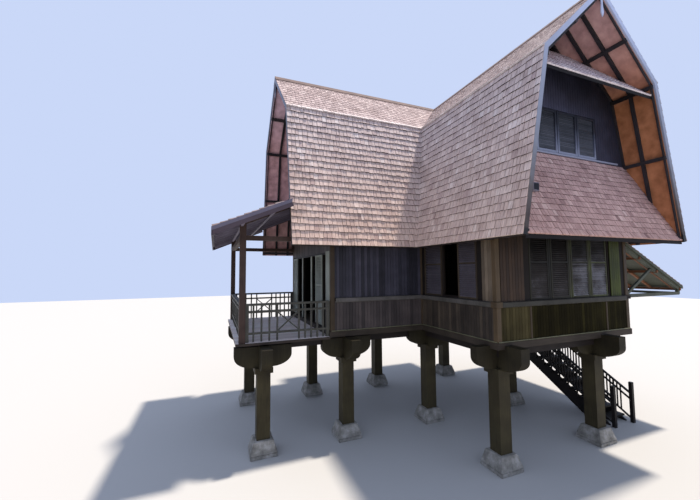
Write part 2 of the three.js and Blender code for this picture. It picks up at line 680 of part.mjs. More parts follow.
// Bargeboards and their pendant between two planes of a gable, drawn by the given function
function bargeboards(draw, near, a0, a1) {
  const inset = BARGE_THICKNESS / 4;
  const pendant = draw(pendantOutline(near + HOUSE_WIDTH / 2), a0 + inset, a1 - inset);
  return draw(bargeOutline(near), a0, a1).add(pendant);
}

function roofs() {
  const left = alongY(slopeOutline(0, 1), -GABLE_OUT, BACK_GABLE_Y).subtract(wingWedge(SEAT / 2));
  const frontHalf = box(-FAR / 3, RIDGE_X, -FAR / 3, RIDGE_Y, 0, FAR);
  place("roof_front_left", left.intersect(frontHalf), SHINGLE);
  place("roof_back_left", left.subtract(frontHalf), SHINGLE);
  place("roof_right", alongY(slopeOutline(HOUSE_WIDTH, -1), -GABLE_OUT, BACK_GABLE_Y), SHINGLE);
  const wedge = wingWedge(-SEAT / 2);
  const nearSlope = alongX(slopeOutline(FRONT_PROJECTION, 1), WING_GABLE_X, RIDGE_X);
  const farSlope = alongX(slopeOutline(HOUSE_DEPTH, -1), WING_GABLE_X, RIDGE_X);
  place("roof_wing_near", nearSlope.intersect(wedge), SHINGLE);
  place("roof_wing_far", farSlope.intersect(wedge), SHINGLE);

  const { front, back } = GABLE_ENDS;
  place("front_apron", apron(front), SHINGLE);
  place("back_apron", apron(back), SHINGLE);
  place("front_hood", hood(front), SHINGLE);
  place("back_hood", hood(back), SHINGLE);

  const thick = BARGE_THICKNESS;
  const frontBoards = bargeboards(alongY, 0, -GABLE_OUT - thick, -GABLE_OUT - SEAT);
  const backBoards = bargeboards(alongY, 0, BACK_GABLE_Y + SEAT, BACK_GABLE_Y + thick);
  const wingBoards = bargeboards(alongX, FRONT_PROJECTION, WING_GABLE_X - thick, WING_GABLE_X - SEAT);
  place("bargeboards_front", frontBoards, BARGE_PAINT);
  place("bargeboards_back", backBoards, BARGE_PAINT);
  place("bargeboards_wing", wingBoards, BARGE_PAINT);
}

// The saddle of boards on a ridge, in section
function ridgeCapOutline(centre) {
  const under = roofLine(-SEAT).ridge[1];
  const over = roofLine(-RIDGE_CAP_THICKNESS).ridge[1];
  const width = RIDGE_CAP_WIDTH;
  const fall = (width * (RIDGE_Z - BREAK_Z)) / (HALF_SPAN - BREAK_IN);
  return outline([
    [centre - width, under - fall], [centre, under], [centre + width, under - fall],
    [centre + width, over - fall], [centre, over], [centre - width, over - fall],
  ]);
}

function ridgeCaps() {
  const ends = [-GABLE_OUT - BARGE_THICKNESS, BACK_GABLE_Y + BARGE_THICKNESS];
  const front = alongY(ridgeCapOutline(RIDGE_X), ...ends);
  place("ridge_cap_front", front.subtract(wingWedge(SEAT)), SHINGLE);
  const wing = alongX(ridgeCapOutline(RIDGE_Y), WING_GABLE_X - BARGE_THICKNESS, RIDGE_X);
  place("ridge_cap_wing", wing.intersect(wingWedge(-SEAT)), SHINGLE);
}

// A slanted bar as an outline from one corner of a panel to the other
function slantedBar(a0, a1, b0, b1) {
  const half = BALUSTER / 2;
  return outline([[a0, b0 - half], [a1, b1 - half], [a1, b1 + half], [a0, b0 + half]]);
}

// Pens that draw a railing's bars in the plane of a railing along X or along Y
function railingAlongX(y) {
  const draw = (a0, a1, b0, b1, width) => box(a0, a1, y - width / 2, y + width / 2, b0, b1);
  draw.slanted = (...corners) => alongY(slantedBar(...corners), y - SLAT / 2, y + SLAT / 2);
  return draw;
}

function railingAlongY(x) {
  const draw = (a0, a1, b0, b1, width) => box(x - width / 2, x + width / 2, a0, a1, b0, b1);
  draw.slanted = (...corners) => alongX(slantedBar(...corners), x - SLAT / 2, x + SLAT / 2);
  return draw;
}

// A railing panel: top rail, middle rail, low rail, end posts, balusters and crossed braces
function railing(from, to, base, uprights, braces, draw) {
  const top = base + RAIL_HEIGHT;
  const middle = top - MIDDLE_RAIL_DROP;
  const low = base + LOW_RAIL_RISE;
  const foot = base + SEAT;
  const end = 2 * BALUSTER;
  const parts = [
    draw(from, to, top - BAR, top, 2 * RAIL),
    draw(from, to, middle, middle + BAR, RAIL),
    draw(from, to, low, low + BAR, RAIL),
    draw(from, from + end, foot, top - LAP, end),
    draw(to - end, to, foot, top - LAP, end),
  ];
  for (const a of uprights) {
    parts.push(draw(a - BALUSTER / 2, a + BALUSTER / 2, foot, top - LAP, BALUSTER));
  }
  for (const [a0, a1] of braces) {
    parts.push(draw.slanted(a0, a1, low + BAR, middle));
    parts.push(draw.slanted(a0, a1, middle, low + BAR));
  }
  return join(parts);
}

const verandaUnderside = (x) => (
  VERANDA_EAVE_Z + (x - VERANDA_EAVE_X) * VERANDA_SLOPE - VERANDA_ROOF_THICKNESS - SEAT
);

// Two posts, ties, sloping beams and the studs on the wing's end wall
function verandaFrame(postX, sides) {
  const half = VERANDA_POST / 2;
  const innerX = WING_END - SEAT;
  const parts = [];
  for (const y of sides) {
    const postTop = verandaUnderside(postX - half);
    parts.push(box(postX - half, postX + half, y - half, y + half, DECK_Z + SEAT, postTop));
    parts.push(box(postX, innerX - LAP, y - TIE / 2 + LAP, y + TIE / 2 - LAP, TIE_Z, TIE_Z + TIE));
    const slope = outline([
      [postX, verandaUnderside(postX) - VERANDA_BEAM], [innerX, verandaUnderside(innerX) - VERANDA_BEAM],
      [innerX, verandaUnderside(innerX)], [postX, verandaUnderside(postX)],
    ]);
    parts.push(alongY(slope, y - VERANDA_BEAM / 2, y + VERANDA_BEAM / 2));
    const studTop = verandaUnderside(innerX - VERANDA_BEAM) - LAP;
    parts.push(box(innerX - VERANDA_BEAM, innerX, y - TIE / 2, y + TIE / 2, TIE_Z - LAP, studTop));
  }
  parts.push(box(postX - TIE / 2, postX + TIE / 2, ...sides, TIE_Z - LAP, TIE_Z + TIE + LAP));
  return join(parts);
}

// The lean-to slab: wide in front of the bargeboards, narrower between them and the wall
function verandaRoof() {
  const slab = (x0, x1, y0, y1) => alongY(outline([
    [x0, verandaUnderside(x0) + SEAT], [x1, verandaUnderside(x1) + SEAT],
    [x1, verandaUnderside(x1) + VERANDA_ROOF_THICKNESS], [x0, verandaUnderside(x0) + VERANDA_ROOF_THICKNESS],
  ]), y0, y1);
  const clear = WING_GABLE_X - BARGE_THICKNESS - 2 * LAP;
  const side = VERANDA_ROOF_SIDE;
  const outer = slab(VERANDA_EAVE_X, clear, FRONT_PROJECTION - side, HOUSE_DEPTH + side);
  const inner = slab(clear - WALL, WING_END - SEAT, FRONT_PROJECTION + WALL, HOUSE_DEPTH - WALL);
  return outer.add(inner);
}

function veranda() {
  const postX = VERANDA_END + VERANDA_POST_IN;
  const half = VERANDA_POST / 2;
  const nearY = FRONT_PROJECTION + half;
  const farY = HOUSE_DEPTH - half;
  place("veranda_frame", verandaFrame(postX, [nearY, farY]), FRAME_TIMBER);
  place("veranda_roof", verandaRoof(), SHINGLE);

  const start = postX + half + SEAT;
  const end = WING_END - FLOOR_EDGE - SEAT;
  const uprights = [...even(start, SIDE_BRACE[0], 4), ...SIDE_BRACE, ...even(SIDE_BRACE[1], end, 5)];
  const side = (y) => railing(start, end, DECK_Z, uprights, [SIDE_BRACE], railingAlongX(y));
  place("veranda_railing_near", side(nearY), RAIL_TIMBER);
  place("veranda_railing_far", side(farY), RAIL_TIMBER);
  const y0 = nearY + half + SEAT;
  const y1 = farY - half - SEAT;
  const cross = [RIDGE_Y - END_BRACE_HALF, RIDGE_Y + END_BRACE_HALF];
  const endUprights = [...even(y0, cross[0], END_BAYS), ...cross, ...even(cross[1], y1, END_BAYS)];
  const endRailing = railing(y0, y1, DECK_Z, endUprights, [cross], railingAlongY(postX));
  place("veranda_railing_end", endRailing, RAIL_TIMBER);
}

// Outline of a band that climbs with the stair, between two heights above the line of the tread noses
function climbing(y0, y1, below, above) {
  const line = (y) => ((y - STAIR_FOOT_Y) * RISE) / GOING;
  return outline([
    [y0, line(y0) + below], [y1, line(y1) + below], [y1, line(y1) + above], [y0, line(y0) + above],
  ]);
}

function flight() {
  const [x0, x1] = STAIR_X;
  const stringer = climbing(STAIR_FOOT_Y - BAR, STAIR_TOP_Y - SEAT, -STRINGER_BELOW, STRINGER_ABOVE);
  const parts = [alongX(stringer, x0, x0 + STRINGER), alongX(stringer, x1 - STRINGER, x1)];
  for (let i = 0; i < RISERS - 1; i += 1) {
    const y = STAIR_FOOT_Y + i * GOING;
    parts.push(box(x0 + LAP, x1 - LAP, y, y + GOING + LAP, (i + 1) * RISE - TREAD, (i + 1) * RISE));
  }
  return join(parts).intersect(box(x0 - LAP, x1 + LAP, 0, STAIR_TOP_Y, 0, FAR));
}

// A stair railing in the plane x: newels, sloping rails and balusters, and a panel along the landing if
// it has one
function stairRailing(x, alongLanding) {
  const draw = railingAlongY(x);
  const footY = STAIR_FOOT_Y - RAIL - 2 * NEWEL;
  const topY = STAIR_TOP_Y + LAP;
  const sloping = (below, above, width) => (
    alongX(climbing(footY + LAP, topY + NEWEL - LAP, below, above), x - width / 2, x + width / 2)
  );
  const pieces = [
    draw(footY, footY + NEWEL, 0, NEWEL_HEIGHT, NEWEL),
    sloping(HANDRAIL_RISE - BAR, HANDRAIL_RISE, RAIL),
    sloping(HANDRAIL_RISE - MIDDLE_RAIL_DROP, HANDRAIL_RISE - MIDDLE_RAIL_DROP + BAR, SLAT + LAP / 2),
    sloping(LOW_RAIL_RISE, LOW_RAIL_RISE + BAR, SLAT + LAP / 2),
    draw(topY, topY + NEWEL, WALL_BASE, FLOOR_Z + HANDRAIL_RISE + 2 * BAR, NEWEL),
  ];
  for (let i = 1; i < RISERS; i += 1) {
    const y = STAIR_FOOT_Y + i * GOING;
    const upright = climbing(y - SLAT / 2, y + SLAT / 2, -BAR, HANDRAIL_RISE - LAP);
    pieces.push(alongX(upright, x - SLAT / 2, x + SLAT / 2));
  }
  if (alongLanding) {
    const from = topY + NEWEL - LAP;
    const to = LANDING_END_Y - BAR;
    pieces.push(railing(from, to, FLOOR_Z, even(from, to, 6), [], draw));
  }
  return join(pieces);
}

function stair() {
  const [x0, x1] = STAIR_X;
  const clear = SLAT / 2 + SEAT;
  place("stair_flight", flight(), STAIR_TIMBER);
  place("stair_railing_outer", stairRailing(x1 + clear, true), STAIR_TIMBER);
  place("stair_railing_inner", stairRailing(x0 - clear, false), STAIR_TIMBER);
  const inner = HOUSE_WIDTH + FLOOR_EDGE + SEAT;
  const landing = box(inner, x1 + WALL, STAIR_TOP_Y, LANDING_END_Y, FLOOR_Z - FLOOR_SKIRT, FLOOR_Z);
  place("entry_landing", landing, STAIR_TIMBER);
}

const canopyTop = (x) => (
  CANOPY_WALL_Z - ((x - HOUSE_WIDTH) * (CANOPY_WALL_Z - CANOPY_TIP_Z)) / CANOPY_REACH
);

// One triangular bracket of the lean-to: sloping rafter, tie, wall stud, outer stud and strut
function canopyBracket(y) {
  const wallX = HOUSE_WIDTH + SEAT;
  const endX = HOUSE_WIDTH + CANOPY_REACH - BAR;
  const beam = CANOPY_BEAM;
  const under = (x) => canopyTop(x) - CANOPY_THICKNESS - SEAT;
  const tieZ = CANOPY_TIP_Z - CANOPY_THICKNESS - 2 * beam;
  const strutX = (wallX + endX) / 2;
  const rafter = outline([
    [wallX, under(wallX) - beam], [endX, under(endX) - beam], [endX, under(endX)], [wallX, under(wallX)],
  ]);
  const strut = outline([
    [wallX + RAIL, tieZ + LAP], [wallX + RAIL, tieZ + beam], [strutX, under(strutX) - LAP],
    [strutX, under(strutX) - beam],
  ]);
  return join([
    alongY(rafter, y, y + beam),
    box(wallX + LAP, endX - BAR, y + LAP / 2, y + beam - LAP / 2, tieZ, tieZ + beam),
    box(endX - 2 * BAR, endX - LAP, y + LAP, y + beam - LAP, tieZ + 2 * LAP, under(endX) - LAP),
    box(wallX, wallX + beam, y - LAP, y + beam + LAP, tieZ - LAP, under(wallX + beam) - LAP),
    alongY(strut, y + 2 * LAP, y + beam - 2 * LAP),
  ]);
}

// Lean-to over the stair, hung on brackets from the right wall
function canopy() {
  const wallX = HOUSE_WIDTH + SEAT;
  const tipX = HOUSE_WIDTH + CANOPY_REACH;
  const depth = CANOPY_THICKNESS;
  const roof = alongY(outline([
    [wallX, canopyTop(wallX)], [tipX, canopyTop(tipX)], [tipX, canopyTop(tipX) - depth],
    [wallX, canopyTop(wallX) - depth],
  ]), 0, CANOPY_BACK_Y);
  place("canopy_roof", roof, SHINGLE);
  const beam = CANOPY_BEAM;
  const rows = [BAR, (CANOPY_BACK_Y - beam) / 2, CANOPY_BACK_Y - BAR - beam];
  const tieZ = CANOPY_TIP_Z - depth - 2 * beam;
  const plateX = tipX - 4 * BAR;
  const plate = box(plateX, plateX + beam, 2 * BAR, CANOPY_BACK_Y - 2 * BAR, tieZ + LAP, tieZ + beam - LAP);
  place("canopy_frame", join([...rows.map(canopyBracket), plate]), FRAME_TIMBER);
}

substructure();
floors();
walls();
windows();
doors();
roofs();
ridgeCaps();
veranda();
stair();
canopy();

// The origin lies on the ground, under the middle of the whole house
const reach = new THREE.Box3().setFromObject(house);
house.children.forEach((piece) => piece.geometry.translate(
  -(reach.min.x + reach.max.x) / 2,
  -(reach.min.y + reach.max.y) / 2,
  -reach.min.z,
));

export default house;
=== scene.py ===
import math

import bmesh
import bpy
import numpy as np
from mathutils import Matrix, Vector


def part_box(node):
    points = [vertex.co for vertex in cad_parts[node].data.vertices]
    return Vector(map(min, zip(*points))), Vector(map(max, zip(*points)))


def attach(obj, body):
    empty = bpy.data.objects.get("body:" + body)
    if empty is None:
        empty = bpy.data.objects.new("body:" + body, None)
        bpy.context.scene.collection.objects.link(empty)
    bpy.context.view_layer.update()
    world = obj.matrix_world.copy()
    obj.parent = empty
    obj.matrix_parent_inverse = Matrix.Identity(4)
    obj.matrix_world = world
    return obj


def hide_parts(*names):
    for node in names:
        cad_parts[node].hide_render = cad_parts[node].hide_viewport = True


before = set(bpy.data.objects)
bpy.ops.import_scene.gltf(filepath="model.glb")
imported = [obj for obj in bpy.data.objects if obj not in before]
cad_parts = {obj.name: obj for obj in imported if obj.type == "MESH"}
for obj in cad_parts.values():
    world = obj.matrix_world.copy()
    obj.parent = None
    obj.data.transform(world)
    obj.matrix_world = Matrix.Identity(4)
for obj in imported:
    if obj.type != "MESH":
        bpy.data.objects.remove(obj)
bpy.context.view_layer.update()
rng = np.random.default_rng(1907)

# Plan and heights, as in the CAD model
WIDTH = 4.68
FRONT = 2.90
DEPTH = WIDTH + FRONT
WING_END = -2.89
FLOOR = 2.86
DECK = 2.73
JETTY = 0.15
FLOOR_EDGE = 0.04
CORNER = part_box("main_floor")[0] - Vector((WING_END - FLOOR_EDGE, -FLOOR_EDGE, 0))
ORIGIN = np.array((CORNER.x, CORNER.y, 0.0))

# Roof section: distance inwards from the wall's outer face, and height
EAVE = (-0.434, 5.145)
BREAK = (0.386, 9.094)
RIDGE = (2.34, 10.967)
ROOF_THICKNESS = 0.11
GABLE_OUT = 1.10
WING_GABLE_OUT = 1.117
BARGE = 0.04

# Shingles: each is as long as SHINGLE_LAP courses, a butt is the thickness of its lower end,
# and a slip is how far that end may wander from its line
STEEP_COURSES = 22
UPPER_COURSES = 14
SHINGLE_WIDTH = (0.08, 0.16)
SHINGLE_GAP = 0.011
SHINGLE_LAP = 1.3
BUTT = 0.028
WING_BUTT = 0.036
UPPER_BUTT = 0.018
EDGE_BUTT = 0.034
SLIP = 0.007
WING_SLIP = 0.011
THICKNESS_SPREAD = (0.8, 1.2)
SHINGLE_SINK = 0.002
SHINGLE_HEAD = 0.003
SLIVER = 0.02
UPPER_HANG = 0.05
LEAN_TO_COURSES = 17
LEAN_TO_START = 0.022

# Boards, trims and louvres
BOARD = 0.092
BOARD_GAP = 0.007
BOARD_THICKNESS = 0.014
POST = 0.13
BOARD_CLEAR = 0.004
SHORTEST_BOARD = 0.05
SLAT_PITCH = 0.046
SLAT = 0.008
SLAT_TILT = 0.018
STILE = 0.045
LEAF_DEPTH = 0.034
LEAF_IN = -0.028
MIDDLE_RAIL = 0.04
MIDDLE_RAIL_AT = 0.55
EASE = 0.003

# Tone of a face: shingles run from 0 to 1, a butt in the field is painted dark as the shadow under its
# course, one on the upper slopes a little less dark, and one at an edge is painted pale as a highlight, as is
# the course that hangs over a break
TONE_SPREAD = 0.18
PAINTED_HIGHLIGHT_TONE = 0.9
UPPER_TONE = 0.4
# The wing's upper slopes take a dark tone, painted shade that offsets this scene's sun on them
WING_UPPER_TONE = 0.05
PAINTED_SHADE_BUTT = -1.0
PLAIN_BUTT = 0.6
HALF_PAINTED_SHADE_BUTT = -0.02
PAINTED_HIGHLIGHT_BUTT = 2.0


# Arrays of small blocks, joined into one mesh
def block_unit(eased):
    """One cube, eased or not: its points from 0 to 1, its faces, and which face is at the low end of v."""
    bm = bmesh.new()
    bmesh.ops.create_cube(bm, size=1.0)
    if eased:
        bmesh.ops.bevel(
            bm, geom=bm.edges[:], offset=0.1, segments=1, profile=0.5, affect="EDGES", material=-1
        )
    bm.verts.index_update()
    points = np.array([v.co for v in bm.verts]) + 0.5
    faces = [[v.index for v in f.verts] for f in bm.faces]
    low = [f.normal.y < -0.9 for f in bm.faces]
    bm.free()
    return points, faces, low


UNITS = {eased: block_unit(eased) for eased in (False, True)}


def block_points(corners, ease):
    """Points of every block. Its 8 corners are ordered by u, v and w, each low then high."""
    points, _, _ = UNITS[ease > 0]
    corners = np.asarray(corners, float).reshape(-1, 2, 2, 2, 3)
    first = corners[:, 0, 0, 0]
    others = (corners[:, 1, 0, 0], corners[:, 0, 1, 0], corners[:, 0, 0, 1])
    sizes = np.stack([np.linalg.norm(other - first, axis=1) for other in others], axis=1)
    # An eased point lies as far from its edge as the ease, or less on a very thin block
    share = np.minimum(ease / np.maximum(sizes, 1e-6), 0.45)[:, None, :]
    inner = np.where(points < 0.5, share, 1 - share)
    place = np.where(points < 0.02, 0.0, np.where(points > 0.98, 1.0, inner))
    u, v, w = (place[..., i, None] for i in range(3))

    def side(number):
        ends = corners[:, None, :, :, number]
        foot = (1 - u) * (1 - v) * ends[:, :, 0, 0] + u * (1 - v) * ends[:, :, 1, 0]
        return foot + (1 - u) * v * ends[:, :, 0, 1] + u * v * ends[:, :, 1, 1]

    grain = np.stack([place[..., i] * sizes[:, None, i] for i in range(2)], axis=-1)
    return (1 - w) * side(0) + w * side(1), grain


def blocks(name, corners, material, ease=0.0, tones=None, butts=None):
    """Joins one block for each set of corners into a piece of the house."""
    points, grain = block_points(corners, ease)
    count, each = points.shape[:2]
    _, faces, low = UNITS[ease > 0]
    tones = rng.random(count) if tones is None else np.asarray(tones, float)
    shift = rng.random((count, 1, 2)) * 7.0
    mesh = bpy.data.meshes.new(name)
    every = [[i + each * n for i in f] for n in range(count) for f in faces]
    mesh.from_pydata((points.reshape(-1, 3) + ORIGIN).tolist(), [], every)
    tone = np.repeat(tones, len(faces))
    if butts is not None:
        tone = np.where(np.tile(low, count), np.repeat(butts, len(faces)), tone)
    mesh.attributes.new("tone", "FLOAT", "FACE").data.foreach_set("value", tone.astype(np.float32))
    uv = mesh.uv_layers.new(name="grain")
    loop_points = np.zeros(len(mesh.loops), np.int64)
    mesh.loops.foreach_get("vertex_index", loop_points)
    uv.data.foreach_set("uv", (grain + shift).reshape(-1, 2)[loop_points].ravel().astype(np.float32))
    bm = bmesh.new()
    bm.from_mesh(mesh)
    bmesh.ops.recalc_face_normals(bm, faces=bm.faces[:])
    bm.to_mesh(mesh)
    bm.free()
    return piece(name, mesh, material)


def piece(name, mesh, material):
    made = bpy.data.objects.new(name, mesh)
    bpy.context.scene.collection.objects.link(made)
    mesh.materials.append(material)
    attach(made, "root")
    return made


def box(x0, x1, y0, y1, z0, z1):
    """Corners of an upright box."""
    return [[x, y, z] for x in (x0, x1) for y in (y0, y1) for z in (z0, z1)]


def beam(start, end, side, width, depth):
    """Corners of a bar from start to end, width across along side, and depth down from the line."""
    start, end, side = (np.array(p, float) for p in (start, end, side))
    run = (end - start) / np.linalg.norm(end - start)
    side = side / np.linalg.norm(side)
    down = np.cross(run, side)
    if down[2] > 0:
        down = -down
    half = side * width / 2
    return [p + s + d for s in (-half, half) for p in (start, end) for d in (down * depth, down * 0)]


class Plane:
    """A flat face of the house: u along it, v up it and w out of it."""

    def __init__(self, origin, along, up):
        self.origin = np.array(origin, float)
        self.along = np.array(along, float)
        self.up = np.array(up, float) / np.linalg.norm(up)
        self.out = np.cross(self.along, self.up)
        if self.out[2] < -1e-9:
            self.out = -self.out

    def at(self, u, v, w):
        return self.origin + u * self.along + v * self.up + w * self.out

    def block(self, u0, u1, v0, v1, w0, w1, top_shift=(0.0, 0.0), w_top=None):
        """Corners of a block. top_shift moves the tops of its two sides, w_top is its outer face there."""
        w_top = w1 if w_top is None else w_top
        corners = []
        for u, shift in ((u0, top_shift[0]), (u1, top_shift[1])):
            for v, outer in ((v0, w1), (v1, w_top)):
                here = u + (shift if v == v1 else 0.0)
                corners += [self.at(here, v, w0), self.at(here, v, outer)]
        return corners


# Materials
def srgb(code):
    """A colour written as sRGB hex, turned linear."""
    parts = [int(code[i : i + 2], 16) / 255 for i in (1, 3, 5)]
    return [c / 12.92 if c <= 0.04045 else ((c + 0.055) / 1.055) ** 2.4 for c in parts] + [1.0]


def add(tree, kind, inputs=(), **settings):
    """Adds a shader node with its settings and links."""
    made = tree.nodes.new("ShaderNode" + kind)
    for key, value in settings.items():
        setattr(made, key, value)
    for key, value in dict(inputs).items():
        if isinstance(value, bpy.types.NodeSocket):
            tree.links.new(value, made.inputs[key])
        else:
            made.inputs[key].default_value = value
    return made


def ramp(node, stops):
    """Sets the colours of a ramp from (place, sRGB hex) pairs."""
    stops = list(stops)
    elements = node.color_ramp.elements
    while len(elements) < len(stops):
        elements.new(0.5)
    for element, (place, code) in zip(elements, stops):
        element.position = place
        element.color = srgb(code)
    return node.outputs["Color"]


def new_material(name, roughness, specular=0.5):
    material = bpy.data.materials.new(name)
    material.use_nodes = True
    tree = material.node_tree
    shader = tree.nodes["Principled BSDF"]
    shader.inputs["Roughness"].default_value = roughness
    shader.inputs["Specular IOR Level"].default_value = specular
    return material, tree, shader


def by_height(tree, where, low, high, ends=(0.0, 1.0)):
    """A value that goes from one end to the other between two heights."""
    height = add(tree, "SeparateXYZ", {"Vector": where}).outputs["Z"]
    place = {"Value": height, "From Min": low, "From Max": high, "To Min": ends[0], "To Max": ends[1]}
    return add(tree, "MapRange", place).outputs["Result"]


def coat(tree, shader, colour, relief=None, strength=0.5, depth=0.003):
    """Gives a shader its colour and, with a relief, bumps of that depth in metres."""
    tree.links.new(colour, shader.inputs["Base Color"])
    if relief is not None:
        bump = add(tree, "Bump", {"Height": relief, "Strength": strength, "Distance": depth})
        tree.links.new(bump.outputs["Normal"], shader.inputs["Normal"])


def split_shingles(name, colours, butt, edge, stain, tints):
    """Hardwood shingles, split and left to the weather: each its own tone, fine streaks, broad stains.

    colours run from dark to light, and tints are laid over them from the eaves to the ridge."""
    material, tree, shader = new_material(name, 0.85, 0.3)
    tone = add(tree, "Attribute", attribute_name="tone").outputs["Fac"]
    place = add(tree, "MapRange", {"Value": tone, "From Min": -1.0, "From Max": 2.0})
    base = add(tree, "ValToRGB", {"Fac": place.outputs["Result"]})
    field = [(0.34 + 0.32 * p, code) for p, code in zip((0.0, 0.3, 0.7, 1.0), colours)]
    # Butts in the field take the dark end, painted shade under each course, and edge butts the pale end, a
    # painted highlight
    ramp(base, [(0.0, butt), (0.3, butt), *field, (0.7, edge), (1.0, edge)])
    # Streaks about 13 mm across and 0.33 m long run down each shingle
    uv = add(tree, "UVMap", uv_map="grain").outputs["UV"]
    placed = add(tree, "Mapping", {"Vector": uv, "Scale": (75.0, 3.0, 1.0)}).outputs["Vector"]
    streaks = add(tree, "TexNoise", {"Vector": placed, "Scale": 1.0, "Detail": 3.0})
    streak_tone = add(
        tree, "MapRange",
        {"Value": streaks.outputs["Fac"], "From Min": 0.3, "From Max": 0.7, "To Min": 0.66, "To Max": 1.28},
    )
    # Stains from rain and dust about half a metre across
    where = add(tree, "TexCoord").outputs["Object"]
    blotch = add(tree, "TexNoise", {"Vector": where, "Scale": 1.8, "Detail": 4.0, "Roughness": 0.6})
    blotch_tone = add(
        tree, "MapRange",
        {"Value": blotch.outputs["Fac"], "From Min": 0.45, "From Max": 0.7, "To Min": 0.0, "To Max": 0.35},
    )
    stained = add(
        tree, "Mix",
        {"Factor": blotch_tone.outputs["Result"], "A": base.outputs["Color"], "B": srgb(stain)},
        data_type="RGBA", blend_type="MULTIPLY",
    )
    tint = ramp(add(tree, "ValToRGB", {"Fac": by_height(tree, where, 5.1, 10.9)}), tints)
    tinted = add(tree, "VectorMath", {0: stained.outputs["Result"], 1: tint}, operation="MULTIPLY")
    streaked = add(
        tree, "VectorMath",
        {0: tinted.outputs["Vector"], "Scale": streak_tone.outputs["Result"]}, operation="SCALE",
    )
    coat(tree, shader, streaked.outputs["Vector"], streaks.outputs["Fac"])
    return material


def timber(name, colours, roughness, across, grain="UV", painted_shade_band=None, specular=0.2, middle=0.5):
    """Sawn or planed timber under stain: long grain, a tone for each board and slow changes along it.

    colours run from dark to light, and the middle one of three has its place. across is how wide the
    grain lines are, in metres. grain is UV for joined boards, or the letter of the axis that it follows
    on a CAD node. The shade band gives the heights between which the wood is painted darker as shade, and how
    dark it gets there."""
    material, tree, shader = new_material(name, roughness, specular)
    coordinates = add(tree, "TexCoord")
    # Grain lines are about thirty times as long as they are wide
    fine = 1.0 / across
    long = fine / 30
    scales = {
        "UV": (fine, long, 1.0), "X": (long, fine, fine), "Y": (fine, long, fine), "Z": (fine, fine, long),
    }
    source = coordinates.outputs["UV" if grain == "UV" else "Object"]
    placed = add(tree, "Mapping", {"Vector": source, "Scale": scales[grain]}).outputs["Vector"]
    lines = add(tree, "TexNoise", {"Vector": placed, "Scale": 1.0, "Detail": 3.0})
    slow = add(
        tree, "TexNoise", {"Vector": coordinates.outputs["Object"], "Scale": 2.2, "Detail": 2.0},
    )
    tone = add(tree, "Attribute", attribute_name="tone").outputs["Fac"]
    share = add(tree, "Math", {0: tone, 1: 0.35}, operation="MULTIPLY").outputs["Value"]
    for pattern, weight in ((slow, 0.45), (lines, 0.4)):
        share = add(
            tree, "Math", {0: pattern.outputs["Fac"], 1: weight, 2: share}, operation="MULTIPLY_ADD",
        ).outputs["Value"]
    place = add(tree, "MapRange", {"Value": share, "From Min": 0.3, "From Max": 0.9})
    places = (0.0, middle, 1.0) if len(colours) == 3 else (0.0, 0.4, 0.75, 1.0)
    base = add(tree, "ValToRGB", {"Fac": place.outputs["Result"]})
    colour = ramp(base, zip(places, colours))
    # Painted shade: the colour darkens between two heights, as shade under eaves, hoods and floors
    if painted_shade_band:
        left = by_height(tree, coordinates.outputs["Object"], painted_shade_band[0], painted_shade_band[1], (1.0, painted_shade_band[2]))
        colour = add(tree, "VectorMath", {0: colour, "Scale": left}, operation="SCALE").outputs["Vector"]
    coat(tree, shader, colour, lines.outputs["Fac"], 0.6, 0.0015)
    return material


def soffit(name, panel, high_panel):
    """Roof slab: stained panels on its underside, painted greyer high up as shade, and dark battens
    everywhere else.
    """
    material, tree, shader = new_material(name, 0.6, 0.3)
    where = add(tree, "TexCoord").outputs["Object"]
    facing = add(tree, "NewGeometry").outputs["Normal"]
    facing_up = add(tree, "SeparateXYZ", {"Vector": facing}).outputs["Z"]
    under = add(tree, "Math", {0: facing_up, 1: -0.1}, operation="LESS_THAN")
    end = add(tree, "Math", {0: facing_up, 1: -0.9}, operation="GREATER_THAN")
    panelled = add(
        tree, "Math", {0: under.outputs["Value"], 1: end.outputs["Value"]}, operation="MULTIPLY",
    )
    # Cloudy figure about 0.2 m across, as in rotary cut ply
    figure = add(tree, "TexNoise", {"Vector": where, "Scale": 5.0, "Detail": 4.0}).outputs["Fac"]
    low, high = (
        ramp(add(tree, "ValToRGB", {"Fac": figure}), zip((0.3, 0.5, 0.7), colours))
        for colours in (panel, high_panel)
    )
    # Painted shade: the panels turn greyer between these heights
    rise = by_height(tree, where, 8.8, 11.2)
    panels = add(tree, "Mix", {"Factor": rise, "A": low, "B": high}, data_type="RGBA")
    mixed = add(
        tree, "Mix",
        {"Factor": panelled.outputs["Value"], "A": srgb("#2e2523"), "B": panels.outputs["Result"]},
        data_type="RGBA",
    )
    coat(tree, shader, mixed.outputs["Result"])
    return material


def board_paint(name, stops):
    """Satin paint on planed boards, grey-blue and darker towards the eaves."""
    material, tree, shader = new_material(name, 0.5, 0.4)
    where = add(tree, "TexCoord").outputs["Object"]
    rise = by_height(tree, where, 5.1, 11.0)
    # Worn patches about 0.15 m across shift the height at which the darkening ends
    patches = add(tree, "TexNoise", {"Vector": where, "Scale": 6.0, "Detail": 5.0}).outputs["Fac"]
    place = add(tree, "Math", {0: patches, 1: 0.16, 2: rise}, operation="MULTIPLY_ADD")
    base = add(tree, "ValToRGB", {"Fac": place.outputs["Value"]})
    coat(tree, shader, ramp(base, stops), patches, 0.3, 0.002)
    return material


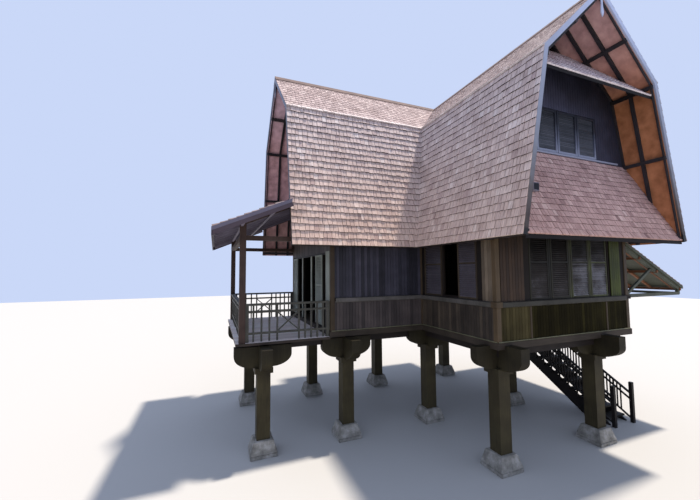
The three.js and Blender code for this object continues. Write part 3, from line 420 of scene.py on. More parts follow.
def cut_stone(name):
    """Grey stone dressed with a point: soft patches, dark pits and a rough face."""
    material, tree, shader = new_material(name, 0.9, 0.3)
    where = add(tree, "TexCoord").outputs["Object"]
    patches = add(tree, "TexNoise", {"Vector": where, "Scale": 5.0, "Detail": 6.0, "Roughness": 0.65})
    base = add(tree, "ValToRGB", {"Fac": patches.outputs["Fac"]})
    stone = ramp(base, [(0.3, "#66635d"), (0.5, "#8a8780"), (0.68, "#a8a5a0")])
    # Pits about 12 mm apart
    pits = add(tree, "TexVoronoi", {"Vector": where, "Scale": 80.0})
    pit_tone = add(
        tree, "MapRange",
        {"Value": pits.outputs["Distance"], "From Min": 0.0, "From Max": 0.35, "To Min": 0.72, "To Max": 1.0},
    )
    shaded = add(tree, "VectorMath", {0: stone, "Scale": pit_tone.outputs["Result"]}, operation="SCALE")
    coat(tree, shader, shaded.outputs["Vector"], patches.outputs["Fac"], 0.8, 0.012)
    return material


def window_paint(name, low, high):
    """Blue-grey paint on planed frames, painted light near the sill and painted shade under the hood."""
    material, tree, shader = new_material(name, 0.5, 0.3)
    where = add(tree, "TexCoord").outputs["Object"]
    # Worn patches about 60 mm across
    patches = add(tree, "TexNoise", {"Vector": where, "Scale": 16.0, "Detail": 3.0}).outputs["Fac"]
    rise = by_height(tree, where, low, high)
    place = add(tree, "Math", {0: patches, 1: 0.2, 2: rise}, operation="MULTIPLY_ADD")
    base = add(tree, "ValToRGB", {"Fac": place.outputs["Value"]})
    coat(tree, shader, ramp(base, [(0.1, "#8d93a9"), (0.4, "#5b6175"), (0.75, "#252833")]))
    return material


def pale_floor(name):
    material, tree, shader = new_material(name, 0.8, 0.2)
    shader.inputs["Base Color"].default_value = srgb("#b4b3b0")
    return material


# Colours laid over shingles from the eaves to the ridge: warm low down and washed cool high up, or none
WASHED = [(0.0, "#f5ede5"), (0.6, "#eff4fb"), (1.0, "#f6fbff")]
UNWASHED = [(0.0, "#ffffff"), (1.0, "#ffffff")]
# Split hardwood left to the weather: matt pinkish grey, uneven from one shingle to the next
SHINGLES = split_shingles(
    "weathered_split_shingles", ("#bea7a2", "#ccb7b0", "#dac5bc", "#e7d7d0"),
    "#120a09", "#d9ccc5", "#b5a49e", WASHED,
)
# The same in a darker tone, painted shade for the slopes that this scene's sun falls on squarely
PAINTED_SHADE_SHINGLES = split_shingles(
    "painted_shade_split_shingles", ("#978582", "#a2928e", "#ae9e98", "#b8aca8"),
    "#0c0606", "#ada39f", "#90837f", WASHED,
)
# Redder and deeper on the aprons as painted shade, and nearly white on the hoods as painted light that lifts
# the shade under the gable's overhang
SHADED_SHINGLES = split_shingles(
    "painted_shade_apron_shingles", ("#af8e8b", "#c4a29d", "#d7b5af", "#e7cbc3"),
    "#1d1415", "#cfc0c1", "#a08d90", WASHED,
)
HOOD_SHINGLES = split_shingles(
    "painted_light_hood_shingles", ("#cebbc1", "#dfced3", "#e7dfe2", "#e7e7e7"),
    "#756467", "#ddd0d2", "#bba9ad", UNWASHED,
)
# Rotary cut ply under stain: satin orange-brown, greyer high up as painted shade, and paler pink under the
# wing's roof as painted light
SOFFIT = soffit(
    "stained_ply_soffit", ("#955f3e", "#ac704c", "#bd7e58"), ("#b29499", "#c7a7ab", "#d8babd"),
)
WING_SOFFIT = soffit(
    "painted_light_ply_soffit", ("#b38885", "#cfa09f", "#e4b6b6"), ("#bea7ba", "#d3bcd0", "#e6d0e5"),
)
# Brushed paint: satin grey-blue with worn patches, nearly black low down, and painted darker on the wing as
# shade
PAINT = board_paint(
    "grey_blue_board_paint",
    [
        (0.105, "#100d0d"), (0.135, "#403532"), (0.24, "#5b5352"), (0.33, "#72727a"), (0.46, "#868b9b"),
        (0.68, "#959cb0"), (0.97, "#b6c0dc"),
    ],
)
WING_PAINT = board_paint(
    "painted_shade_grey_blue_board_paint", [(0.1, "#221e1f"), (0.3, "#33323a"), (0.6, "#4a4d5c"), (0.95, "#6a7084")],
)
# Planed boards under dark stain: satin brown, each its own tone, painted darker under the eaves as shade, and
# painted green on the front's right as a reflection
FRONT_PAINTED_SHADE = (4.7, 5.5, 0.5)
FRONT_BOARDS = timber(
    "dark_stained_front_boards", ("#211610", "#32241a", "#423123", "#53402f"), 0.55, 0.006, painted_shade_band=FRONT_PAINTED_SHADE,
)
GREEN_REFLECTION_BOARDS = timber(
    "painted_green_reflection_front_boards", ("#222609", "#343b11", "#475019", "#586322"), 0.55, 0.006, painted_shade_band=FRONT_PAINTED_SHADE,
)
# Sawn boards low on the front: matt, nearly black, and olive on the left
FOOT_BOARDS = timber("near_black_foot_boards", ("#131005", "#1f1b0b", "#302c14"), 0.8, 0.006, specular=0.05)
OLIVE_BOARDS = timber(
    "olive_stained_foot_boards", ("#231e0c", "#39321b", "#4f472c"), 0.7, 0.006, specular=0.1,
)
# Planed boards of the other walls: satin grey-brown, browner on the left, blue-black on the wing and gables,
# and painted darker high on the gables as shade
SIDE_BOARDS = timber("dark_stained_side_boards", ("#272322", "#393332", "#4b4341", "#5e534f"), 0.55, 0.006)
LEFT_BOARDS = timber("brown_stained_left_boards", ("#24201c", "#37302a", "#483f35", "#5a4e41"), 0.55, 0.006)
WING_BOARDS = timber("blue_black_wing_boards", ("#201f24", "#2f2e36", "#3e3c46", "#4e4b55"), 0.55, 0.006)
GABLE_BOARDS = timber(
    "blue_black_gable_boards", ("#2d2e3b", "#434458", "#5a5c77"), 0.6, 0.006, painted_shade_band=(7.6, 9.2, 0.6),
)
# Planed trim, satin: brown corner boards and trims, greyer sill rails, and ledges painted a pale olive as a
# highlight along the foot of the walls
CORNER_BOARDS = timber("worn_stained_corner_boards", ("#4a4035", "#665a4b", "#807261"), 0.5, 0.006)
SILL_TIMBER = timber("worn_stained_sill_rails", ("#26241e", "#403e38", "#625d5a"), 0.5, 0.008)
TRIM = timber("dark_stained_trim_boards", ("#2e241a", "#453828", "#5d4d38"), 0.5, 0.008)
LEDGES = timber("wall_ledges_with_painted_highlight", ("#4c4a3a", "#68664f", "#838167"), 0.5, 0.008)
# Sawn lining behind the boards: matt, and so dark that the gaps between boards look black
WALL_BACK = timber("dark_stained_wall_lining", ("#120e0c", "#1f1815", "#2b211d"), 0.7, 0.008, "Z", middle=0.6)
# Planed and stained joinery: satin brown frames and greyer slats
JOINERY = timber("stained_joinery_frames", ("#29221d", "#3d342a", "#514737"), 0.5, 0.008, middle=0.6)
JOINERY_CAD = timber("stained_joinery", ("#1c1714", "#2a221d", "#382f27"), 0.55, 0.008, "Z", middle=0.6)
LOUVRES = timber("stained_louvre_slats", ("#363237", "#524c51", "#6f6b72"), 0.5, 0.006)
# The front's joinery: frames from near black to olive and slats from dark to pale, painted reflections that
# differ from leaf to leaf, both painted dark under the eaves as shade
FRONT_JOINERY = timber(
    "joinery_frames_with_painted_reflection", ("#14120c", "#2d2c1c", "#565d35"), 0.5, 0.008, painted_shade_band=(4.6, 5.4, 0.5),
)
FRONT_LOUVRES = timber(
    "louvre_slats_with_painted_reflection", ("#1f1a17", "#47423f", "#b4b4bc"), 0.5, 0.006, painted_shade_band=(4.45, 5.0, 0.2),
)
# Painted joinery: olive-grey doors, and gable windows in worn grey-blue, painted light near the sill and
# painted shade under the hood, with slats also painted darker under the hood as shade
DOOR_PAINT = timber("olive_grey_door_paint", ("#6a6e64", "#888c80", "#a3a798"), 0.5, 0.01)
WINDOW_PAINT = window_paint("grey_blue_window_paint", 7.3, 8.5)
WINDOW_SLATS = timber(
    "blue_black_window_slats", ("#383b43", "#4f535d", "#686c78"), 0.5, 0.006, painted_shade_band=(7.6, 8.6, 0.35),
)
# Sawn hardwood under stain: matt and coarse, dark olive-brown posts, painted darker near the floor above them
# as shade
POSTS = timber(
    "dark_stained_hardwood_posts", ("#2d2719", "#47402a", "#66603c"), 0.65, 0.012, "Z", painted_shade_band=(1.7, 2.5, 0.5),
)
FRAME_TIMBER = timber("dark_stained_frame_timber", ("#1b1614", "#2c2523", "#403835"), 0.65, 0.012, "X")
SKIRT = timber("dark_stained_skirting_boards", ("#2b251e", "#433a32", "#5e554a"), 0.65, 0.012, "X")
# Sawn roof timber out of the light: nearly black
SHADOW_TIMBER = timber(
    "near_black_batten_timber", ("#120e0e", "#1c1718", "#272122"), 0.7, 0.012, "X", middle=0.6,
)
RAFTERS = timber("dark_stained_rafters", ("#1e1b1d", "#2e2a2d", "#423d42"), 0.6, 0.012)
# Ridge boards left to the weather: matt pinkish brown
RIDGE_BOARDS = timber("weathered_ridge_boards", ("#5e4e4b", "#806c65", "#a48c84"), 0.8, 0.012, "Y")
# Oiled boards indoors: satin brown. Those of the veranda are painted nearly white, painted light that lifts
# the shade under the veranda's roof
FLOOR_BOARDS = timber("oiled_floor_boards", ("#2b2420", "#443a33", "#5d5148"), 0.6, 0.01, "X")
DECK_BOARDS = timber("deck_boards_with_painted_light", ("#beb3b0", "#e4d7d1", "#e7e7e7"), 0.7, 0.008)
# Veranda: grey railings, brown posts, and mauve-grey rafters, lining and fascias, all matt
RAILS = timber("weathered_railing_timber", ("#3a3832", "#54524a", "#6e6c64"), 0.6, 0.01, "X")
VERANDA_TIMBER = timber("brown_stained_veranda_timber", ("#332621", "#4f3d35", "#6d574c"), 0.6, 0.012, "Z")
VERANDA_RAFTERS = timber("grey_veranda_rafters", ("#5a5462", "#716a7a", "#868090"), 0.6, 0.012)
VERANDA_LINING = timber("grey_veranda_lining_boards", ("#635e6c", "#746e7c", "#847e8d"), 0.6, 0.012, "Y")
FASCIA = timber("mauve_grey_fascia_boards", ("#3d343b", "#4e434a", "#5e5259"), 0.6, 0.01, "Y")
# Stair: nearly black treads and rails, under a lean-to of grey-green timber with warm brown rafters
STAIR = timber("near_black_stair_timber", ("#141110", "#221d1b", "#332d2a"), 0.55, 0.01, "Y")
CANOPY_TIMBER = timber("grey_green_canopy_timber", ("#40433a", "#5e6255", "#7b7f70"), 0.6, 0.012, "X")
CANOPY_RAFTERS = timber("brown_canopy_rafters", ("#5a3826", "#7b5038", "#96684c"), 0.6, 0.012)
# Floodlight: satin grey paint around dark glass that shines a little
LAMP_CASING = timber("painted_lamp_casing", ("#6d6a76", "#84818e", "#9b98a4"), 0.5, 0.01)
LAMP_DARK = timber("dark_lamp_glass", ("#0d0b10", "#17141b", "#221e27"), 0.25, 0.01)
STONE = cut_stone("dressed_grey_stone")


# Roof planes: the slope over each wall, steep up to the break and flatter up to the ridge
STEEP_RUN = BREAK[0] - EAVE[0]
STEEP_RISE = BREAK[1] - EAVE[1]
UPPER_RUN = RIDGE[0] - BREAK[0]
UPPER_RISE = RIDGE[1] - BREAK[1]
STEEP_LENGTH = math.hypot(STEEP_RUN, STEEP_RISE)
UPPER_LENGTH = math.hypot(UPPER_RUN, UPPER_RISE)
STEEP_SHIFT = ROOF_THICKNESS * STEEP_LENGTH / STEEP_RISE
UPPER_DROP = ROOF_THICKNESS * UPPER_LENGTH / UPPER_RUN
BARGE_FIT = 0.004
GABLE_FRONT = -GABLE_OUT - BARGE + BARGE_FIT
GABLE_BACK = DEPTH + GABLE_OUT + BARGE - BARGE_FIT
GABLE_WING = WING_END - WING_GABLE_OUT - BARGE + BARGE_FIT


def slope_plane(side, start, run, rise):
    """The plane of one slope, from its start [distance in, height]. side names the wall it lies over."""
    inwards, z = start
    origin, along, up = {
        "left": ((inwards, 0, z), (0, 1, 0), (run, 0, rise)),
        "right": ((WIDTH - inwards, 0, z), (0, 1, 0), (-run, 0, rise)),
        "near": ((0, FRONT + inwards, z), (1, 0, 0), (0, run, rise)),
        "far": ((0, DEPTH - inwards, z), (1, 0, 0), (0, -run, rise)),
    }[side]
    return Plane(origin, along, up)


def row_widths(low, high):
    """Splits a row into shingles of uneven width."""
    cuts = [low]
    while cuts[-1] < high:
        cuts.append(cuts[-1] + rng.uniform(*SHINGLE_WIDTH))
    cuts = [c for c in cuts if c < high - SHINGLE_WIDTH[0]] + [high]
    return list(zip(cuts[:-1], cuts[1:]))


def shingle_rows(
    plane, length, courses, ends, start=0.0, butt=BUTT, butt_tone=PAINTED_SHADE_BUTT, edge_tone=PAINTED_HIGHLIGHT_BUTT, tone=0.5,
    slip=SLIP,
):
    """Corners, tones and butt tones of the shingles on a plane. ends(v) gives the ends of a row at a height.

    The lowest course is doubled and has thick butts; one that hangs over a break is painted paler as well, a
    painted highlight."""
    pitch = (length - start) / courses
    corners, tones, butts = [], [], []
    for course in range(courses):
        v0 = start + course * pitch
        v1 = min(v0 + pitch * SHINGLE_LAP, length)
        (low0, high0), (low1, high1) = ends(v0), ends(v1)
        inner = (max(low0, low1), min(high0, high1))
        edge = course == 0
        for left, right in row_widths(min(low0, low1), max(high0, high1)):
            if right < inner[0] + SLIVER or left > inner[1] - SLIVER:
                continue
            first = left <= inner[0] + SLIVER
            last = right >= inner[1] - SLIVER
            a0, a1 = (low0, low1) if first else (left, left)
            b0, b1 = (high0, high1) if last else (right - SHINGLE_GAP, right - SHINGLE_GAP)
            thick = (EDGE_BUTT if edge else butt) * rng.uniform(*THICKNESS_SPREAD)
            drop = 0.0 if edge else rng.uniform(-slip, slip)
            lean = (a1 - a0, b1 - b0)
            corners.append(plane.block(a0, b0, v0 + drop, v1, -SHINGLE_SINK, thick, lean, SHINGLE_HEAD))
            # A course that hangs over a break is given a pale tone, a painted highlight
            tones.append(PAINTED_HIGHLIGHT_TONE if edge and start < 0 else np.clip(rng.normal(tone, TONE_SPREAD), 0, 1))
            butts.append(edge_tone if edge else butt_tone)
    return corners, tones, butts


def roof_slope(name, side, ends, upper_tone=UPPER_TONE, butt=BUTT, slip=SLIP, material=SHINGLES):
    """Shingles on both parts of one slope. ends(distance in) gives where its rows start and stop."""
    steep = slope_plane(side, EAVE, STEEP_RUN, STEEP_RISE)
    upper = slope_plane(side, BREAK, UPPER_RUN, UPPER_RISE)
    steep_ends = lambda v: ends(EAVE[0] + v * STEEP_RUN / STEEP_LENGTH)
    upper_ends = lambda v: ends(BREAK[0] + v * UPPER_RUN / UPPER_LENGTH)
    low = shingle_rows(steep, STEEP_LENGTH, STEEP_COURSES, steep_ends, butt=butt, slip=slip)
    high = shingle_rows(
        upper, UPPER_LENGTH, UPPER_COURSES, upper_ends, -UPPER_HANG, UPPER_BUTT, HALF_PAINTED_SHADE_BUTT, tone=upper_tone
    )
    corners, tones, butts = (a + b for a, b in zip(low, high))
    blocks(name, corners, material, tones=tones, butts=butts)


def under_roof(distance):
    """Height of the roof's underside at a distance in from the wall's outer face."""
    distance = np.minimum(distance, WIDTH - distance)
    steep = EAVE[1] + (distance - STEEP_SHIFT - EAVE[0]) * STEEP_RISE / STEEP_RUN
    upper = RIDGE[1] - UPPER_DROP - (RIDGE[0] - distance) * UPPER_RISE / UPPER_RUN
    return np.minimum(steep, upper)


def inside_roof(z):
    """How far in from the wall's outer face the roof's underside is at a height."""
    steep = EAVE[0] + STEEP_SHIFT + (z - EAVE[1]) * STEEP_RUN / STEEP_RISE
    upper = RIDGE[0] - (RIDGE[1] - UPPER_DROP - z) * UPPER_RUN / UPPER_RISE
    return max(steep, upper)


def roofs():
    roof_slope("shingles_front_left", "left", lambda d: (GABLE_FRONT, FRONT + d))
    roof_slope("shingles_back_left", "left", lambda d: (DEPTH - d, GABLE_BACK))
    roof_slope("shingles_right", "right", lambda d: (GABLE_FRONT, GABLE_BACK), material=PAINTED_SHADE_SHINGLES)
    for side in ("near", "far"):
        ends = lambda d: (GABLE_WING, d)
        roof_slope(f"shingles_wing_{side}", side, ends, WING_UPPER_TONE, WING_BUTT, WING_SLIP)


# Gable ends: apron, hood and upper wall. Each end is given by the plane of its lower wall.
FRONT_FACE = Plane((0, 0, 0), (1, 0, 0), (0, 0, 1))
BACK_FACE = Plane((WIDTH, DEPTH, 0), (-1, 0, 0), (0, 0, 1))
WING_FACE = Plane((WING_END, DEPTH, 0), (0, -1, 0), (0, 0, 1))
LEFT_FACE = Plane((0, FRONT, 0), (0, -1, 0), (0, 0, 1))
RIGHT_FACE = Plane((WIDTH, 0, 0), (0, 1, 0), (0, 0, 1))
NEAR_FACE = Plane((WING_END, FRONT, 0), (1, 0, 0), (0, 0, 1))
FAR_FACE = Plane((0, DEPTH, 0), (-1, 0, 0), (0, 0, 1))
APRON_TOP = (0.15, 7.26)
APRON_EDGE = (1.09, 5.153)
APRON_COURSES = 15
HOOD_EDGE_Z = 8.75
HOOD_SLOPE = 1.22
HOOD_IN = 0.05
HOOD_RISE = 1.55
HOOD_COURSES = 10
ROOF_CLEAR = 0.003
GABLE_START = 0.008


def gable_rows(name, face, edge, top, courses, material):
    """Shingles on an apron or hood, from its edge [distance out, height] up to its top."""
    run = edge[0] - top[0]
    rise = top[1] - edge[1]
    up = -face.out * run + np.array((0, 0, rise))
    plane = Plane(face.origin + face.out * edge[0] + np.array((0, 0, edge[1])), face.along, up)
    length = math.hypot(run, rise)

    def ends(v):
        inside = inside_roof(edge[1] + v * rise / length)
        return inside + ROOF_CLEAR, WIDTH - inside - ROOF_CLEAR

    rows = shingle_rows(plane, length, courses, ends, GABLE_START, UPPER_BUTT, edge_tone=PLAIN_BUTT)
    blocks(name, rows[0], material, tones=rows[1], butts=rows[2])


def gable_ends():
    hood_edge = (GABLE_OUT - HOOD_IN, HOOD_EDGE_Z)
    hood_top = (hood_edge[0] - HOOD_RISE / HOOD_SLOPE, HOOD_EDGE_Z + HOOD_RISE)
    for name, face in (("front", FRONT_FACE), ("back", BACK_FACE)):
        gable_rows(f"shingles_{name}_hood", face, hood_edge, hood_top, HOOD_COURSES, HOOD_SHINGLES)
        gable_rows(f"shingles_{name}_apron", face, APRON_EDGE, APRON_TOP, APRON_COURSES, SHADED_SHINGLES)


# Floodlight: spans along X, Y and Z
LAMP_BOX = (0.33, 0.50, -0.78, -0.60, 6.12, 6.30)
LAMP_GLASS_BOX = (0.345, 0.485, -0.786, -0.77, 6.14, 6.28)


def apron_lamp():
    """A small floodlight in a square casing on the left of the front apron."""
    blocks("apron_lamp_casing", [box(*LAMP_BOX)], LAMP_CASING, ease=0.008)
    blocks("apron_lamp_glass", [box(*LAMP_GLASS_BOX)], LAMP_DARK, ease=0.002)


# Rafters and purlins against the soffits of the gable overhangs and eaves
RAFTER = (0.075, 0.06)
RAFTER_SPACING = 0.45
FIRST_RAFTER = 0.03
FIRST_RAFTER_HALF = 0.015
PURLIN_HALF = 0.045
STEEP_PURLINS = (0.10, 2.15, STEEP_LENGTH - 0.10)
UPPER_PURLIN = 1.35


def soffit_rafters():
    corners = []
    lift = ROOF_THICKNESS + 0.002
    low, high = -lift - RAFTER[1], -lift
    runs = (
        ("left", -GABLE_OUT, FRONT - 0.5), ("right", -GABLE_OUT, DEPTH + GABLE_OUT),
        ("left", DEPTH - 0.3, DEPTH + GABLE_OUT), ("near", WING_END - WING_GABLE_OUT, -0.1),
        ("far", WING_END - WING_GABLE_OUT, -0.1),
    )
    for side, first, last in runs:
        steep = slope_plane(side, EAVE, STEEP_RUN, STEEP_RISE)
        upper = slope_plane(side, BREAK, UPPER_RUN, UPPER_RISE)
        for i in range(int((last - first) / RAFTER_SPACING) + 1):
            u = first + FIRST_RAFTER + i * RAFTER_SPACING
            half = FIRST_RAFTER_HALF if i == 0 else RAFTER[0] / 2
            left, right = u - half, u + half
            corners.append(steep.block(left, right, 0.01, STEEP_LENGTH, low, high))
            corners.append(upper.block(left, right, 0, UPPER_LENGTH - 0.1, low, high))
        for plane, v in [(steep, v) for v in STEEP_PURLINS] + [(upper, UPPER_PURLIN)]:
            corners.append(plane.block(first, last, v - PURLIN_HALF, v + PURLIN_HALF, low * 1.08, high))
    blocks("soffit_rafters", corners, RAFTERS)


# Wall boards, trims and posts
def cladding(face, areas, top=None, out=0.0):
    """Corners of upright boards over areas [u0, u1, v0, v1] of a wall; top(u) limits their height."""
    corners = []
    for u0, u1, v0, v1 in areas:
        count = max(1, round((u1 - u0) / BOARD))
        step = (u1 - u0) / count
        for i in range(count):
            a = u0 + i * step + BOARD_GAP / 2
            b = a + step - BOARD_GAP
            tops = [v1 if top is None else min(v1, top(u) - BOARD_CLEAR) for u in (a, b)]
            if min(tops) < v0 + SHORTEST_BOARD:
                continue
            corners.append([
                face.at(u, v, out + w)
                for u, high in zip((a, b), tops) for v in (v0, high) for w in (0.0, BOARD_THICKNESS)
            ])
    return corners


def mirrored(areas):
    return [(WIDTH - u1, WIDTH - u0, v0, v1) for u0, u1, v0, v1 in areas]


def boards(name, face, areas, material, top=None, out=0.0):
    blocks(name, cladding(face, areas, top, out), material)


# Heights on the walls, then the areas that boards cover
FOOT = FLOOR + 0.022
LEDGE_LOW = FLOOR + 0.002
RAIL_LOW = FLOOR + 0.765
RAIL_TOP = FLOOR + 0.90 - 0.008
WINDOW_TOP = FLOOR + 2.5
LOW_TOP = FLOOR + 2.2
DOOR_TOP = FLOOR + 2.15
GABLE_SILL = FLOOR + 4.46
GABLE_HEAD = FLOOR + 5.56
GABLE_FOOT = 7.0
GABLE_TOP = 9.7
GABLE_BAND = (1.27, 3.44)
FRONT_BAND = (0.84, 3.98)
BATTENS = (1.01, 3.74)
ENTRY = (5.40, 6.20)
RIGHT_BAND = (0.54, 2.65)
WING_SPAN = (0.06, 2.84)
EAVE_BOARDS_TOP = 6.15
WING_END_TOP = 10.8
FOOT_AREAS = [(1.03, 4.62, FOOT, RAIL_LOW)]
OLIVE_AREAS = [(0.06, BATTENS[0], FOOT, RAIL_LOW)]
FRONT_AREAS = [
    (0.12, FRONT_BAND[0], RAIL_TOP, EAVE_BOARDS_TOP), (*FRONT_BAND, WINDOW_TOP, EAVE_BOARDS_TOP),
]
GREEN_REFLECTION_AREAS = [(FRONT_BAND[1], 4.40, RAIL_TOP, EAVE_BOARDS_TOP)]
GABLE_AREAS = [
    (0.10, GABLE_BAND[0], GABLE_FOOT, GABLE_TOP), (GABLE_BAND[1], 4.58, GABLE_FOOT, GABLE_TOP),
    (*GABLE_BAND, GABLE_HEAD, GABLE_TOP),
]
LEFT_AREAS = [(0.05, 2.84, FOOT, RAIL_LOW), (0.14, 2.49, WINDOW_TOP, EAVE_BOARDS_TOP)]
LEFT_CORNER_AREAS = [(2.49, 2.87, RAIL_TOP, EAVE_BOARDS_TOP)]
RIGHT_AREAS = [
    (0.06, RIGHT_BAND[0], FOOT, EAVE_BOARDS_TOP), (*RIGHT_BAND, FOOT, FLOOR + 0.9),
    (*RIGHT_BAND, LOW_TOP, EAVE_BOARDS_TOP), (RIGHT_BAND[1], ENTRY[0], FOOT, EAVE_BOARDS_TOP),
    (*ENTRY, DOOR_TOP, EAVE_BOARDS_TOP), (ENTRY[1], 7.52, FOOT, EAVE_BOARDS_TOP),
]
WING_END_AREAS = [(0.01, 4.28, DOOR_TOP, WING_END_TOP), (4.28, 4.62, FOOT, WING_END_TOP)]


def walls():
    boards("front_foot_boards", FRONT_FACE, FOOT_AREAS, FOOT_BOARDS)
    boards("front_olive_boards", FRONT_FACE, OLIVE_AREAS, OLIVE_BOARDS)
    boards("front_wall_boards", FRONT_FACE, FRONT_AREAS, FRONT_BOARDS)
    # The front's right panel is painted green, a painted reflection
    boards("front_painted_green_reflection_boards", FRONT_FACE, GREEN_REFLECTION_AREAS, GREEN_REFLECTION_BOARDS)
    gable = cladding(FRONT_FACE, GABLE_AREAS, under_roof, JETTY)
    # The gable's boards are palest on the left, a painted sheen
    tones = [1.7 - 0.5 * corners[0][0] for corners in gable]
    blocks("front_gable_boards", gable, GABLE_BOARDS, tones=tones)
    back = mirrored(FOOT_AREAS + OLIVE_AREAS + FRONT_AREAS + GREEN_REFLECTION_AREAS)
    boards("back_wall_boards", BACK_FACE, back, SIDE_BOARDS)
    boards("back_gable_boards", BACK_FACE, mirrored(GABLE_AREAS), GABLE_BOARDS, under_roof, JETTY)
    boards("left_wall_boards", LEFT_FACE, LEFT_AREAS, LEFT_BOARDS)
    boards("left_corner_boards", LEFT_FACE, LEFT_CORNER_AREAS, CORNER_BOARDS)
    boards("right_wall_boards", RIGHT_FACE, RIGHT_AREAS, SIDE_BOARDS, out=0.001)
    boards("wing_near_wall_boards", NEAR_FACE, [(*WING_SPAN, RAIL_TOP, EAVE_BOARDS_TOP)], WING_BOARDS)
    boards("wing_near_foot_boards", NEAR_FACE, [(*WING_SPAN, FOOT, RAIL_LOW)], SIDE_BOARDS)
    boards("wing_far_wall_boards", FAR_FACE, [(0.0, WING_SPAN[1], FOOT, EAVE_BOARDS_TOP)], SIDE_BOARDS)
    boards("wing_end_wall_boards", WING_FACE, WING_END_AREAS, SIDE_BOARDS, under_roof)


PROUD = 0.02
POST_TOP = 6.0
INNER_POST = (-0.045, 0.02)
SILL_BLOCK = (-0.058, POST)
RAIL_OUT = 0.056
LEDGE_OUT = 0.038
BATTEN = 0.03


def trims():
    """Corner posts, the thin ledge at the foot of the walls, sill rails and battens."""
    corners = []
    for x, y in ((0, 0), (WIDTH, 0), (WIDTH, DEPTH), (WING_END, FRONT), (WING_END, DEPTH)):
        left = x - PROUD if x <= 0 else x + PROUD - POST
        near = y - PROUD if y < DEPTH else y + PROUD - POST
        corners.append(box(left, left + POST, near, near + POST, LEDGE_LOW, POST_TOP))
    corners.append(box(*INNER_POST, *(FRONT + y for y in INNER_POST), LEDGE_LOW, POST_TOP))
    lengths = (
        (FRONT_FACE, WIDTH), (BACK_FACE, WIDTH), (LEFT_FACE, FRONT), (RIGHT_FACE, DEPTH),
        (NEAR_FACE, -WING_END), (FAR_FACE, -WING_END + 0.1),
    )
    ledges = [face.block(0.0, length, LEDGE_LOW, FOOT, 0.0, LEDGE_OUT) for face, length in lengths]
    post = POST - PROUD
    spans = (
        (FRONT_FACE, post, WIDTH - post), (BACK_FACE, post, WIDTH - post), (LEFT_FACE, 0.04, FRONT - 0.02),
        (NEAR_FACE, post, -WING_END - 0.02),
    )
    rails = [face.block(u0, u1, RAIL_LOW, RAIL_TOP + 0.004, 0.0, RAIL_OUT) for face, u0, u1 in spans]
    blocks("sill_rails", rails, SILL_TIMBER, ease=0.02, tones=[0.0, 0.0, 0.8, 1.0])
    blocks("wall_ledges", ledges, LEDGES, ease=0.006)
    corners.append(box(*SILL_BLOCK, *SILL_BLOCK, RAIL_LOW - 0.004, RAIL_TOP + 0.008))
    for face in (FRONT_FACE, BACK_FACE):
        corners += [face.block(u - BATTEN, u + BATTEN, FOOT, RAIL_LOW, 0.0, BATTEN) for u in BATTENS]
    blocks("wall_trims", corners, TRIM, ease=0.012)


# Louvred shutters, gable windows and folding doors
def louvred_leaf(face, u0, u1, v0, v1, out):
    """Corners of a leaf's stiles and rails, and of its slats."""
    low, high = out, out + LEAF_DEPTH
    inner = (u0 + STILE, u1 - STILE)
    mid = v0 + (v1 - v0) * MIDDLE_RAIL_AT
    frame_parts = [face.block(a, b, v0, v1, low, high) for a, b in ((u0, inner[0]), (inner[1], u1))]
    for a, b in ((v0, v0 + STILE), (v1 - STILE, v1), (mid, mid + MIDDLE_RAIL)):
        frame_parts.append(face.block(*inner, a, b, low, high - 0.002))
    slats = []
    for start, stop in ((v0 + STILE, mid), (mid + MIDDLE_RAIL, v1 - STILE)):
        count = int((stop - start) / SLAT_PITCH)
        for i in range(count):
            v = start + (i + 0.5) * (stop - start) / count
            slats.append([
                face.at(u, v + dv + edge, w)
                for u in (inner[0] - 0.002, inner[1] + 0.002)
                for w, dv in ((high - 0.004, -SLAT_TILT), (low + 0.002, SLAT_TILT))
                for edge in (-SLAT / 2, SLAT / 2)
            ])
    return frame_parts, slats


def band(
    name, face, edges, v0, v1, out=LEAF_IN, skip=(), material=JOINERY, slat_material=LOUVRES, slat_reflection=None,
    frame_reflection=None,
):
    """A row of louvred leaves. The two last arguments give the tone of each leaf's slats and of its frame:
    painted reflections that make some leaves paler and greener.
    """
    parts, slats, tones, frame_tones = [], [], [], []
    for i, (u0, u1) in enumerate(edges):
        if i in skip:
            continue
        leaf_parts, leaf_slats = louvred_leaf(face, u0, u1, v0, v1, out)
        parts += leaf_parts
        slats += leaf_slats
        tones += [rng.uniform(-0.1, 0.1) + (slat_reflection[i] if slat_reflection else 0.5) for _ in leaf_slats]
        frame_tones += [rng.uniform(-0.3, 0.3) + (frame_reflection[i] if frame_reflection else 0.5) for _ in leaf_parts]
    blocks(f"{name}_frames", parts, material, ease=EASE, tones=frame_tones)
    blocks(f"{name}_slats", slats, slat_material, tones=tones)


# Left and right edges of the leaves, along each wall
FRONT_LEAVES = [(1.035, 1.675), (1.755, 2.385), (2.475, 3.135), (3.205, 3.855)]
LEFT_LEAVES = [(0.18, 0.98), (1.01, 1.62), (1.64, 2.32)]
RIGHT_LEAVES = [(0.56, 1.20), (1.24, 1.86), (1.90, 2.63)]
OPEN_LEAF = 1
LEAF_FOOT = FLOOR + 0.905
MULLION_GAP = 0.012


